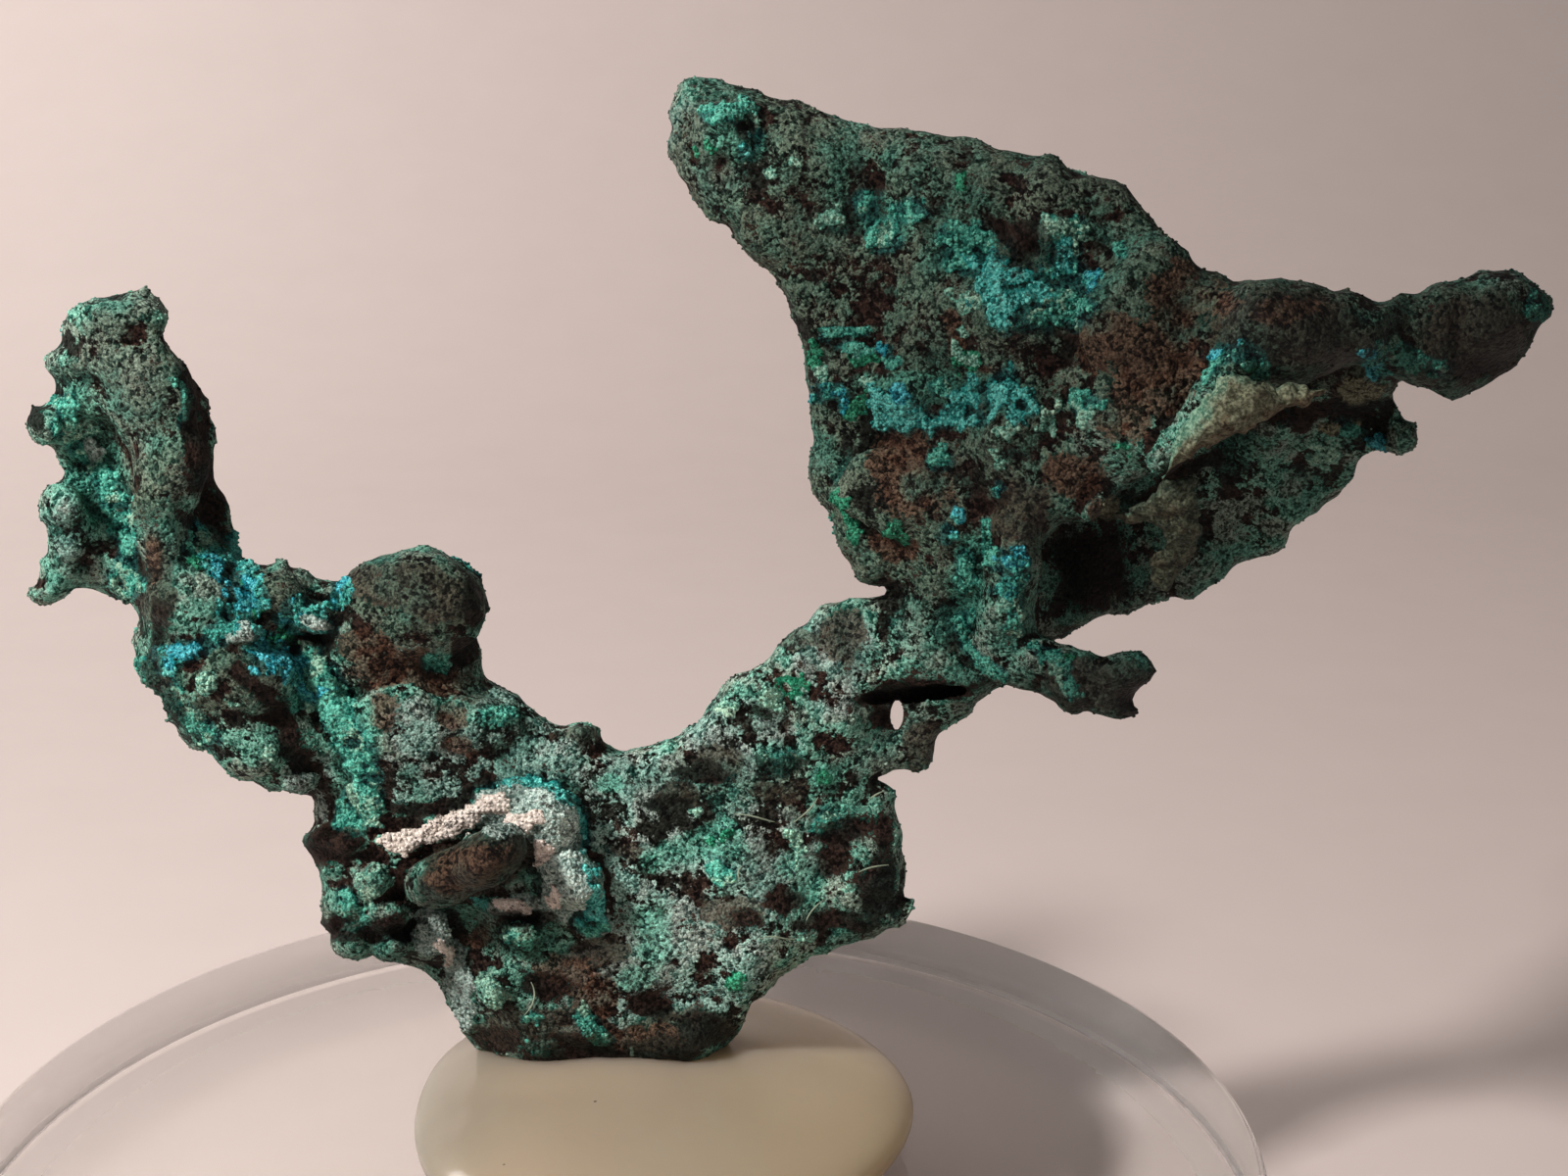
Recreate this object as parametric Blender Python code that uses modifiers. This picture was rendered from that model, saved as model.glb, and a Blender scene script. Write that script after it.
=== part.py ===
"""A specimen of native copper, stood in a pad of putty on a clear round display base.

Lengths are millimetres until each mesh is finished, when it is scaled to metres.
X runs to the right of the specimen's show side, Y away from it and Z up. The origin
is the centre of the base's underside.
"""

import math

import bmesh
import bpy
import numpy as np
from mathutils import Euler, Matrix, Vector

MM = 0.001  # metres in a millimetre

# Display base: a polished clear disc.
BASE_RADIUS = 25.4
BASE_HEIGHT = 8.0
BASE_EDGE = 0.35  # bevel of its two rims
BASE_SIDES = 72

# Putty: a pad pressed flat where it sits on the base, with a socket for the copper's foot.
TOUCH_GAP = 0.3  # clearance kept between pieces that touch
PUTTY_CENTRE = (1.9, -1.3, 9.3)
PUTTY_RADII = (9.8, 10.4, 2.45)
PUTTY_MOUND = 0.25  # how far the putty is drawn up around the copper
PUTTY_MOUND_CENTRE = (-0.6, 0.0)
PUTTY_MOUND_RADII = (6.4, 2.9)
SOCKET_TOP = 14.0
SOCKET_VOXEL = 0.6

# Copper. Outlines, depths and lumps are drawn on an upright plane over the middle of the
# base, as seen from EYE. A point that lies deeper than that plane slides back along its
# line of sight, so the drawn outline is the one seen from EYE whatever the depth.
EYE = (6.7, -84.0, 52.9)
VOXEL = 0.27  # grid that joins sheets, lumps and ridges into one body
SHEET_VOXEL = 0.32  # grid of one sheet before it is given its depth
RIM_HALF = 0.42  # half thickness of a sheet at its very edge
RIM_WIDTH = 1.5  # how far in from the edge a sheet reaches its full thickness
SPREAD = 1.7  # reach of an anchor's depth and thickness
GRAIN = 0.32  # height of the worn grain over the whole surface
COPPER_TRIANGLES = 7450

# Main sheet, clockwise from the top of its arm. Each point is (x, z).
ARM_TOP = [
    (-19.3, 40.0), (-19.2, 40.5), (-18.5, 41.1), (-17.5, 41.3), (-16.9, 41.5), (-16.2, 41.4),
    (-15.7, 41.3), (-15.4, 40.9), (-15.4, 40.3), (-15.7, 40.0), (-15.8, 39.5), (-15.7, 39.2),
    (-15.0, 38.8), (-14.6, 38.0), (-14.3, 37.0), (-14.0, 36.0), (-14.2, 35.0), (-13.9, 34.0),
    (-13.7, 33.0), (-13.4, 31.7),
]
BODY_TOP = [
    (-13.0, 31.5), (-12.2, 31.4), (-12.0, 31.7), (-11.6, 31.6), (-11.4, 31.2), (-10.9, 31.2),
    (-10.5, 30.9), (-9.8, 30.7), (-9.3, 31.1), (-8.0, 31.5), (-6.7, 31.9), (-5.5, 31.5),
    (-4.5, 30.9), (-4.2, 30.0), (-4.4, 29.3), (-4.8, 28.9), (-4.7, 28.1), (-4.4, 27.0),
    (-2.9, 26.1), (-1.8, 25.3), (-0.6, 25.1), (-0.2, 24.3), (0.9, 24.0),
]
NECK_TOP = [
    (2.0, 24.3), (3.3, 25.0), (4.0, 25.8), (4.5, 26.5), (6.3, 28.1), (7.5, 29.1), (7.9, 29.7),
    (9.3, 30.0), (10.2, 29.9), (10.8, 30.3),
]
LEAF_LEFT = [
    (10.3, 30.7), (9.6, 30.8), (9.2, 31.2), (8.6, 32.7), (7.8, 33.9), (7.6, 34.5), (7.5, 36.4), (7.5, 37.5),
    (7.3, 38.9), (7.0, 40.1), (6.4, 41.5), (6.0, 42.5), (4.5, 43.8), (3.6, 44.6), (3.0, 45.6),
    (2.5, 46.4), (2.6, 47.2), (2.6, 47.7), (2.9, 48.4), (3.6, 48.9),
]
LEAF_TOP = [
    (5.1, 48.5), (6.9, 48.1), (8.8, 47.4), (10.5, 47.1), (12.0, 46.9), (13.1, 46.5),
    (15.0, 46.3), (16.4, 46.0), (17.1, 45.5), (18.5, 45.3), (19.5, 44.4), (21.0, 43.0),
    (22.0, 42.1), (22.8, 41.8), (24.3, 41.9), (26.0, 41.5), (27.0, 41.5), (27.9, 41.1),
    (28.7, 41.0),
]
TAIL = [
    (30.4, 41.5), (31.8, 42.0), (33.0, 42.0), (33.5, 41.5), (34.1, 40.6), (34.0, 40.2),
    (33.3, 39.7), (32.8, 38.6), (31.8, 37.7), (31.0, 37.6), (29.0, 37.9),
]
LEAF_FOLD = [
    (28.2, 38.6), (27.0, 38.9), (26.0, 38.2), (24.7, 37.9), (23.2, 38.1), (22.0, 36.9),
    (20.5, 34.9), (19.2, 34.0), (18.4, 33.1), (17.0, 32.9), (16.3, 31.8), (16.3, 29.4),
    (16.1, 27.6), (15.3, 26.8),
]
NECK_UNDER = [
    (14.6, 26.5), (13.6, 25.4), (12.7, 24.6), (12.5, 24.0), (12.5, 23.4), (12.1, 23.1),
    (11.2, 23.1), (10.1, 23.2), (10.1, 22.8),
]
FOOT_RIGHT = [
    (10.9, 22.3), (11.0, 21.0), (11.3, 19.2), (11.4, 18.2), (11.1, 17.0), (10.3, 16.4),
    (9.6, 16.2), (8.4, 15.9), (7.2, 15.5), (6.2, 14.6), (5.7, 13.8), (5.0, 12.8), (4.3, 11.9),
    (3.7, 11.1), (2.7, 10.6),
]
FOOT_LEFT = [
    (1.0, 10.5), (-1.0, 10.6), (-3.2, 10.7), (-4.7, 11.1), (-5.8, 12.2), (-6.4, 13.4),
    (-6.8, 14.4), (-7.8, 15.2), (-8.6, 15.5), (-9.0, 15.7), (-9.9, 15.7), (-10.5, 16.4),
    (-11.2, 17.1), (-11.1, 18.3), (-11.0, 19.3), (-11.5, 20.2), (-11.5, 20.6), (-11.1, 21.1),
]
BODY_LEFT = [
    (-11.3, 22.0), (-12.6, 22.3), (-13.6, 23.0), (-14.7, 24.0), (-15.5, 24.1), (-15.9, 24.7),
    (-16.5, 25.2), (-16.7, 26.2), (-17.3, 26.6), (-17.3, 27.4), (-17.7, 28.3), (-17.3, 29.2),
    (-17.4, 29.8),
]
ARM_LEFT = [
    (-18.1, 30.0), (-18.7, 30.3), (-19.7, 30.1), (-20.3, 29.7), (-21.1, 29.8), (-21.4, 30.2),
    (-20.8, 30.8), (-20.9, 31.3), (-20.3, 32.1), (-20.5, 33.1), (-20.2, 34.0), (-19.5, 34.7),
    (-20.3, 35.6), (-20.9, 36.2), (-20.9, 36.7), (-20.7, 37.0), (-20.7, 37.4), (-19.9, 37.5),
    (-19.6, 38.0), (-20.0, 38.6), (-19.8, 39.2), (-19.4, 39.4),
]
SHEET_OUTLINE = (
    ARM_TOP + BODY_TOP + NECK_TOP + LEAF_LEFT + LEAF_TOP + TAIL + LEAF_FOLD + NECK_UNDER
    + FOOT_RIGHT + FOOT_LEFT + BODY_LEFT + ARM_LEFT
)
# Depth of the sheet's middle and its thickness, at chosen points: (x, z, depth, thickness).
SHEET_ANCHORS = [
    # arm: a ridge on the right, a trough beside it, knobs on the left
    (-17.3, 40.3, 0.6, 3.6), (-18.6, 38.6, 0.6, 3.2), (-16.2, 37.6, 0.2, 4.6),
    (-14.4, 36.5, 2.6, 3.0), (-15.8, 34.6, 0.3, 4.8), (-14.1, 34.0, 2.8, 3.0),
    (-20.0, 36.6, 0.6, 2.6), (-18.4, 35.6, 1.6, 2.4), (-18.2, 33.6, 1.6, 2.6),
    (-19.6, 33.0, 0.7, 3.0), (-20.6, 30.2, 0.2, 2.2), (-18.2, 31.4, 1.2, 3.0),
    # body
    (-15.6, 30.0, 0.2, 4.8), (-14.8, 26.8, 0.0, 5.0), (-12.4, 24.2, 0.2, 4.4),
    (-12.2, 30.2, 0.4, 3.8), (-10.4, 29.0, 1.0, 3.2), (-10.2, 25.6, 0.8, 3.2),
    (-10.6, 22.4, 0.6, 3.0), (-6.9, 29.8, 0.0, 5.0), (-5.2, 27.6, 0.8, 3.2),
    (-7.6, 24.8, 0.0, 4.6), (-3.6, 24.6, 0.2, 3.2),
    # foot
    (-9.8, 19.0, 0.0, 4.0), (-9.6, 16.6, 0.2, 3.2), (-6.9, 15.6, 1.0, 2.0),
    (-6.2, 13.4, 0.9, 1.8), (-4.6, 19.4, 0.4, 4.0), (-3.2, 14.2, 0.0, 3.8),
    (0.0, 11.8, 0.0, 3.0), (0.2, 17.4, 0.2, 3.8), (4.2, 16.6, 0.2, 3.4),
    (9.6, 18.4, 0.7, 2.6), (10.2, 21.6, 0.6, 2.2), (3.2, 12.6, 0.2, 3.0),
    # neck
    (0.2, 22.0, 0.1, 3.2), (4.8, 23.4, 0.1, 2.8), (8.0, 26.0, 0.2, 2.4),
    (11.6, 24.2, 0.7, 1.8), (9.4, 28.8, 0.1, 2.2), (12.8, 28.2, -0.4, 2.6),
    # leaf: its right side stands forward and rolls over a fold
    (9.4, 32.4, 0.2, 2.8), (8.6, 36.4, 0.6, 2.8), (8.6, 40.4, 0.8, 3.0),
    (4.4, 46.8, 1.4, 3.4), (8.4, 44.8, 0.9, 3.4), (13.0, 44.4, 0.0, 3.6),
    (17.0, 43.8, -1.2, 3.6), (12.0, 37.6, -0.8, 3.2), (12.4, 33.6, -1.0, 3.2),
    (15.6, 40.0, -2.0, 3.4), (15.4, 35.8, -2.6, 3.0), (17.6, 34.4, -3.2, 2.2),
    (20.0, 41.2, -3.4, 3.6), (19.6, 36.8, -4.2, 2.8), (24.6, 39.9, -5.2, 4.0),
    (27.2, 40.0, -4.8, 3.4), (29.4, 39.6, -3.2, 3.4), (32.0, 39.9, -2.4, 4.0),
    (16.0, 30.0, -1.2, 3.0),
]

# Back leaf: the sheet that turns behind the fold and closes a pocket under the main leaf.
BACK_OUTLINE = [
    (17.0, 28.4), (18.3, 29.3), (20.0, 29.6), (21.9, 29.7), (23.4, 31.2), (24.7, 31.8),
    (25.4, 32.5), (27.3, 34.1), (27.8, 35.0), (28.7, 35.4), (29.6, 35.4), (29.9, 36.0),
    (29.5, 36.7), (29.0, 37.4), (29.0, 38.4), (27.4, 40.2), (24.6, 40.9), (21.4, 41.4),
    (17.4, 39.0), (14.4, 34.6), (13.8, 30.6), (14.6, 28.0),
]
BACK_ANCHORS = [
    (15.0, 29.0, 0.4, 2.6), (17.4, 29.2, 1.0, 2.0), (20.0, 30.6, 2.4, 1.6),
    (23.0, 32.0, 2.6, 1.6), (26.0, 34.2, 1.8, 1.6), (27.6, 36.4, 0.6, 1.6),
    (29.4, 36.2, -0.6, 2.0), (18.0, 33.4, 2.6, 1.8), (21.6, 35.6, 2.0, 1.8),
    (24.6, 37.4, 0.4, 1.8), (28.0, 38.8, -2.4, 2.2), (24.6, 40.2, -3.6, 2.6),
    (21.4, 40.6, -2.4, 2.6), (17.6, 38.2, -1.4, 2.6), (14.8, 34.0, -0.6, 2.8),
]

# Twig: a short flat branch under the fold, nearer than the sheet.
TWIG_OUTLINE = [
    (15.2, 28.2), (16.8, 28.5), (17.6, 28.1), (18.5, 27.9), (19.4, 27.9), (20.0, 28.0),
    (20.4, 27.6), (20.9, 27.2), (20.6, 26.9), (20.3, 26.4), (19.8, 26.1), (19.9, 25.8),
    (20.2, 25.6), (19.9, 25.2), (19.3, 25.1), (18.3, 25.4), (17.6, 25.3), (16.9, 25.8),
    (16.1, 26.3), (15.4, 26.9),
]
TWIG_ANCHORS = [
    (15.8, 27.6, -2.6, 2.4), (18.0, 26.8, -3.6, 2.0), (19.9, 27.2, -4.4, 1.6), (19.4, 25.6, -4.0, 1.3),
]

# Curled flaps of crust that hang off the fold.
LONG_FLAP_OUTLINE = [
    (20.4, 34.8), (20.7, 35.8), (21.3, 36.8), (22.4, 38.6), (24.0, 38.6), (26.2, 38.5),
    (27.6, 38.4), (27.8, 37.6), (27.2, 37.2), (26.4, 37.4), (24.2, 36.9), (22.6, 36.0),
    (21.2, 35.1), (20.7, 34.6),
]
LONG_FLAP_ANCHORS = [
    (20.7, 35.0, -7.6, 1.0), (21.6, 35.6, -7.9, 0.9), (22.4, 38.4, -5.8, 1.2), (23.8, 37.0, -8.0, 0.9),
    (24.4, 38.6, -6.6, 1.2), (26.2, 37.8, -7.0, 1.0), (27.4, 37.8, -5.4, 1.2),
]
SHORT_FLAP_OUTLINE = [
    (17.8, 33.0), (18.6, 33.8), (20.4, 34.9), (21.4, 35.0), (21.7, 34.2), (21.9, 32.6), (22.0, 31.3),
    (21.2, 30.9), (20.7, 30.4), (20.6, 31.0), (20.3, 31.8), (20.9, 32.4), (20.2, 32.7), (19.0, 32.6),
]
SHORT_FLAP_ANCHORS = [
    (18.4, 33.3, -3.6, 1.3), (20.4, 34.4, -3.8, 1.2), (21.4, 33.8, -3.0, 1.0), (21.5, 32.0, -1.4, 1.0),
    (20.8, 30.8, 0.6, 1.0),
]

# Lumps: (x, depth, z, half width, half depth, half height, tilt in degrees).
LUMPS = [
    # arm
    (-17.3, -0.9, 40.3, 1.7, 1.3, 1.0, 5), (-18.9, -0.6, 38.8, 0.9, 1.0, 0.6, 0),
    (-16.4, -1.2, 37.6, 1.5, 1.5, 1.6, 10), (-15.9, -1.2, 35.0, 1.1, 1.6, 1.5, 0),
    (-16.3, -1.2, 32.6, 1.0, 1.5, 2.2, 5), (-20.2, -0.5, 36.5, 0.7, 0.9, 0.8, 0),
    (-19.8, -0.5, 33.4, 0.7, 1.1, 0.9, 0), (-19.7, -0.5, 32.0, 0.9, 1.0, 0.8, 0),
    (-18.4, -0.4, 37.4, 0.8, 1.0, 0.8, 0),
    # body
    (-15.6, -1.7, 29.6, 1.5, 1.2, 1.6, 0), (-14.0, -2.0, 26.6, 2.6, 1.3, 1.6, 8),
    (-12.0, -1.6, 30.2, 1.1, 1.1, 1.0, 0), (-10.8, -1.3, 29.2, 0.9, 0.9, 0.7, 20),
    (-13.4, -1.6, 24.2, 1.9, 1.2, 1.2, -30), (-13.3, -2.3, 28.6, 0.6, 0.7, 0.4, 0),
    (-6.9, -1.5, 30.0, 2.5, 1.7, 1.6, -8), (-9.0, -1.3, 28.0, 1.5, 1.2, 1.4, 0),
    (-8.0, -1.6, 24.9, 1.9, 1.2, 1.7, 0), (-5.2, -1.1, 25.1, 1.9, 1.0, 1.2, 0),
    (-11.9, -1.4, 22.9, 1.0, 0.9, 0.6, 0), (-0.9, -0.6, 24.8, 0.6, 1.0, 0.4, 0),
    # foot: a boss that points forward, and a cluster of knots
    (-6.4, -2.5, 18.8, 1.7, 1.7, 1.2, 12), (-4.5, -3.4, 19.7, 1.7, 1.9, 1.2, 12),
    (-11.0, -1.0, 20.5, 0.6, 0.9, 0.6, 0), (-9.9, -1.7, 20.3, 0.9, 0.9, 0.6, 0),
    (-10.5, -1.1, 19.3, 0.6, 0.9, 0.6, 0), (-9.1, -1.6, 18.7, 0.9, 0.9, 0.8, 30),
    (-8.5, -1.6, 17.3, 0.9, 1.0, 0.8, 0), (-8.3, -1.0, 16.1, 0.8, 1.0, 0.6, 0),
    (-10.0, -0.8, 16.4, 0.8, 1.0, 0.7, 0), (-10.3, -0.9, 17.8, 0.7, 0.9, 0.8, 0),
    (-7.0, -0.3, 16.5, 0.9, 0.9, 1.1, -20), (-2.3, -1.9, 21.2, 1.2, 1.0, 1.3, 0),
    (-1.4, -2.0, 18.9, 1.1, 0.9, 1.3, 20), (-3.4, -1.9, 16.5, 0.7, 0.8, 0.6, 0),
    (-4.5, -1.7, 14.1, 0.6, 0.7, 0.7, 0), (-1.3, -1.2, 12.4, 0.8, 0.9, 0.7, 0),
    (2.6, -1.1, 12.0, 1.4, 0.9, 0.9, 0), (9.6, -0.4, 18.8, 1.4, 0.9, 1.8, 0),
    # leaf
    (4.6, 0.3, 47.0, 1.3, 1.4, 1.2, -20), (8.0, 0.0, 45.6, 2.4, 1.2, 1.3, -25),
    (14.6, -1.0, 44.9, 2.2, 1.2, 1.1, -10), (10.6, -1.6, 34.2, 2.0, 0.9, 1.7, 0),
    (19.6, -4.6, 39.6, 2.6, 1.1, 2.0, -30),
    (24.6, -5.7, 39.8, 2.3, 1.7, 1.5, -6), (32.0, -3.0, 40.2, 1.7, 1.7, 1.5, 15),
    (29.4, -0.9, 36.2, 0.5, 0.9, 0.6, 0), (18.0, -4.2, 33.5, 0.5, 0.8, 0.8, -20),
    # the far side of the arm and body
    (-16.6, 2.5, 38.6, 1.3, 1.2, 1.6, 20), (-17.6, 2.5, 34.4, 1.2, 1.0, 1.8, 0),
    (-15.4, 2.4, 29.4, 1.9, 1.3, 1.5, -20), (-10.8, 2.4, 26.4, 2.3, 1.1, 1.4, 35),
    (-6.8, 2.3, 29.4, 1.7, 1.3, 1.3, 0), (-5.2, 2.2, 25.8, 1.5, 0.9, 1.0, 0),
    (-8.4, 2.0, 20.6, 1.8, 1.2, 1.5, -15), (-2.2, 2.2, 18.2, 2.3, 1.1, 1.5, 10),
    (2.6, 1.7, 21.2, 1.9, 0.9, 1.3, -25), (7.0, 1.7, 18.2, 1.9, 1.0, 1.5, 0),
    (0.8, 1.6, 14.2, 1.7, 0.9, 1.3, 0), (5.2, 1.5, 24.6, 1.4, 0.8, 0.9, 30),
    # the far side of the neck and leaves
    (9.8, 1.4, 27.4, 1.3, 0.8, 1.2, 0), (11.4, 0.9, 33.4, 1.8, 1.1, 2.2, 10),
    (10.2, 2.1, 39.4, 1.9, 1.1, 1.6, 0), (6.6, 2.6, 45.0, 1.6, 1.0, 1.2, -30),
    (14.0, 1.7, 43.2, 1.8, 1.1, 1.4, 0), (16.4, 1.6, 31.2, 1.6, 0.9, 1.3, 0),
    (19.8, 3.4, 33.2, 1.8, 1.0, 1.4, 0), (24.0, 3.2, 34.4, 1.8, 0.9, 1.1, -35),
    (20.4, 1.8, 38.2, 1.9, 1.2, 1.5, 20),
]

# Ridges: tubes through (x, depth, z, radius).
RIDGES = [
    # the rolled ridge over the fold
    [(15.8, -3.6, 34.8, 0.6), (15.4, -3.4, 32.8, 0.8), (15.2, -3.2, 31.2, 1.0),
     (15.0, -2.8, 29.4, 1.2), (14.9, -2.4, 28.2, 1.2), (15.9, -2.8, 27.4, 1.0)],
    # the fold's lip
    [(20.6, -5.4, 35.2, 0.6), (22.2, -6.4, 37.4, 0.7), (23.2, -6.8, 38.8, 0.7)],
    # thorn on the foot's right side
    [(11.0, 0.6, 17.3, 0.4), (11.5, 0.5, 17.9, 0.34), (11.8, 0.4, 18.5, 0.26)],
    # bright rib down the trough of the body
    [(-10.6, -1.1, 27.4, 0.4), (-10.0, -1.3, 25.4, 0.5), (-9.2, -1.2, 23.6, 0.5), (-9.0, -1.2, 21.8, 0.4)],
]

# Slots cut through or into the sheet: (x, depth, z, half width, half depth, half height, tilt).
SLOTS = [
    (11.7, -0.7, 26.3, 2.1, 1.2, 0.26, 6),  # crack across the neck
    (10.95, 0.4, 25.4, 0.24, 3.0, 0.62, 0),  # hole beside it
    (15.2, -2.8, 42.9, 0.8, 1.0, 0.7, 0),  # pits
    (5.4, -1.3, 47.4, 0.4, 1.0, 0.35, 0),
    (-19.1, -1.0, 33.0, 0.45, 1.1, 0.4, 0),
    (-8.1, -2.4, 16.7, 0.45, 1.0, 0.35, 0),
    (-3.1, -2.5, 17.5, 1.2, 1.2, 0.45, 5),
    (-12.8, 3.0, 24.2, 0.8, 1.2, 0.7, 0),
    (3.6, 2.6, 17.4, 0.9, 1.2, 0.7, 20),
    (12.6, 2.4, 40.4, 0.9, 1.2, 0.8, 0),
]

def clear_scene():
    for obj in list(bpy.data.objects):
        bpy.data.objects.remove(obj, do_unlink=True)


def collection(name):
    made = bpy.data.collections.new(name)
    bpy.context.scene.collection.children.link(made)
    return made


def material(name, colour, roughness, metallic=0.0, transmission=0.0):
    made = bpy.data.materials.new(name)
    made.use_nodes = True
    shader = made.node_tree.nodes["Principled BSDF"]
    shader.inputs["Base Color"].default_value = (*colour, 1.0)
    shader.inputs["Roughness"].default_value = roughness
    shader.inputs["Metallic"].default_value = metallic
    shader.inputs["Transmission Weight"].default_value = transmission
    return made


def add_object(name, data, where):
    obj = bpy.data.objects.new(name, data)
    where.objects.link(obj)
    return obj


def baked_mesh(obj):
    """The object's evaluated mesh, in the scene's coordinates. The object itself is removed."""
    bpy.context.view_layer.update()
    graph = bpy.context.evaluated_depsgraph_get()
    mesh = bpy.data.meshes.new_from_object(obj.evaluated_get(graph))
    mesh.transform(obj.matrix_world)
    bpy.data.objects.remove(obj, do_unlink=True)
    return mesh


def points_of(mesh):
    flat = np.empty(len(mesh.vertices) * 3, np.float32)
    mesh.vertices.foreach_get("co", flat)
    return flat.reshape(-1, 3).astype(float)


def set_points(mesh, points):
    mesh.vertices.foreach_set("co", points.astype(np.float32).ravel())
    mesh.update()


def remeshed(mesh, voxel, where):
    """The mesh rebuilt on an even grid, which also joins whatever overlaps in it."""
    obj = add_object("grid", mesh, where)
    grid = obj.modifiers.new("grid", "REMESH")
    grid.mode = "VOXEL"
    grid.voxel_size = voxel
    return baked_mesh(obj)


def distance_to_outline(points, outline):
    """Shortest distance from each (x, z) point to the closed outline."""
    start = np.array(outline, float)
    along = np.roll(start, -1, axis=0) - start
    offset = points[:, None, :] - start[None, :, :]
    share = np.clip((offset * along).sum(-1) / (along**2).sum(-1), 0.0, 1.0)
    gap = offset - share[..., None] * along
    return np.sqrt((gap**2).sum(-1)).min(axis=1)


def blended(points, anchors):
    """Depth and thickness at each (x, z) point: a mean of the anchors' that falls off with distance."""
    table = np.array(anchors, float)
    square = ((points[:, None, :] - table[None, :, :2]) ** 2).sum(-1) / SPREAD**2
    weight = 1.0 / (0.15 + square) ** 2
    weight /= weight.sum(axis=1, keepdims=True)
    return weight @ table[:, 2], weight @ table[:, 3]


def sheet(outline, anchors, where):
    """A sheet of the given outline, thickest inside and rounded towards its edge."""
    curve = bpy.data.curves.new("outline", "CURVE")
    curve.dimensions = "2D"
    curve.fill_mode = "BOTH"
    curve.extrude = 1.0
    line = curve.splines.new("POLY")
    line.points.add(len(outline) - 1)
    for point, (x, z) in zip(line.points, outline):
        point.co = (x, z, 0.0, 1.0)
    line.use_cyclic_u = True
    obj = add_object("outline", curve, where)
    obj.rotation_euler = Euler((math.pi / 2, 0.0, 0.0))
    mesh = remeshed(baked_mesh(obj), SHEET_VOXEL, where)
    points = points_of(mesh)
    depth, thickness = blended(points[:, [0, 2]], anchors)
    inward = np.clip(distance_to_outline(points[:, [0, 2]], outline) / RIM_WIDTH, 0.0, 1.0)
    round_in = np.sqrt(1.0 - (1.0 - inward) ** 2)
    half = np.minimum(RIM_HALF, thickness / 2)
    half = half + (thickness / 2 - half) * round_in
    points[:, 1] = depth + np.clip(points[:, 1], -1.0, 1.0) * half
    set_points(mesh, points)
    return mesh


def lump(x, depth, z, half_x, half_y, half_z, tilt):
    """A ball stretched to its three half sizes and turned about Y."""
    made = bmesh.new()
    bmesh.ops.create_icosphere(made, subdivisions=3, radius=1.0)
    turn = Matrix.Rotation(math.radians(-tilt), 4, "Y")
    place = Matrix.Translation((x, depth, z)) @ turn @ Matrix.Diagonal((half_x, half_y, half_z, 1.0))
    bmesh.ops.transform(made, matrix=place, verts=made.verts)
    mesh = bpy.data.meshes.new("lump")
    made.to_mesh(mesh)
    made.free()
    return mesh


def ridge(route, where):
    """A tube whose radius changes along its route."""
    curve = bpy.data.curves.new("ridge", "CURVE")
    curve.dimensions = "3D"
    curve.bevel_depth = 1.0
    curve.bevel_resolution = 3
    curve.use_fill_caps = True
    line = curve.splines.new("POLY")
    line.points.add(len(route) - 1)
    for point, (x, depth, z, radius) in zip(line.points, route):
        point.co = (x, depth, z, 1.0)
        point.radius = radius
    mesh = baked_mesh(add_object("ridge", curve, where))
    made = bmesh.new()
    made.from_mesh(mesh)
    bmesh.ops.remove_doubles(made, verts=made.verts, dist=1e-4)
    made.to_mesh(mesh)
    made.free()
    return mesh


def joined(meshes):
    """All the meshes as one, still overlapping."""
    made = bmesh.new()
    for mesh in meshes:
        made.from_mesh(mesh)
        bpy.data.meshes.remove(mesh)
    together = bpy.data.meshes.new("together")
    made.to_mesh(together)
    made.free()
    return together


def seen_from_eye(points):
    """Moves drawn points along their lines of sight to their true places."""
    stretch = 1.0 + points[:, 1:2] / -EYE[1]
    return np.array(EYE) + (points * (1.0, 0.0, 1.0) - np.array(EYE)) * stretch


def finish(mesh, name, finish_material, where, scale=MM):
    mesh.transform(Matrix.Diagonal((scale, scale, scale, 1.0)))
    mesh.materials.clear()
    mesh.materials.append(finish_material)
    return add_object(name, mesh, where)


def hide(cutter):
    cutter.hide_render = True
    cutter.display_type = "WIRE"


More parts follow.
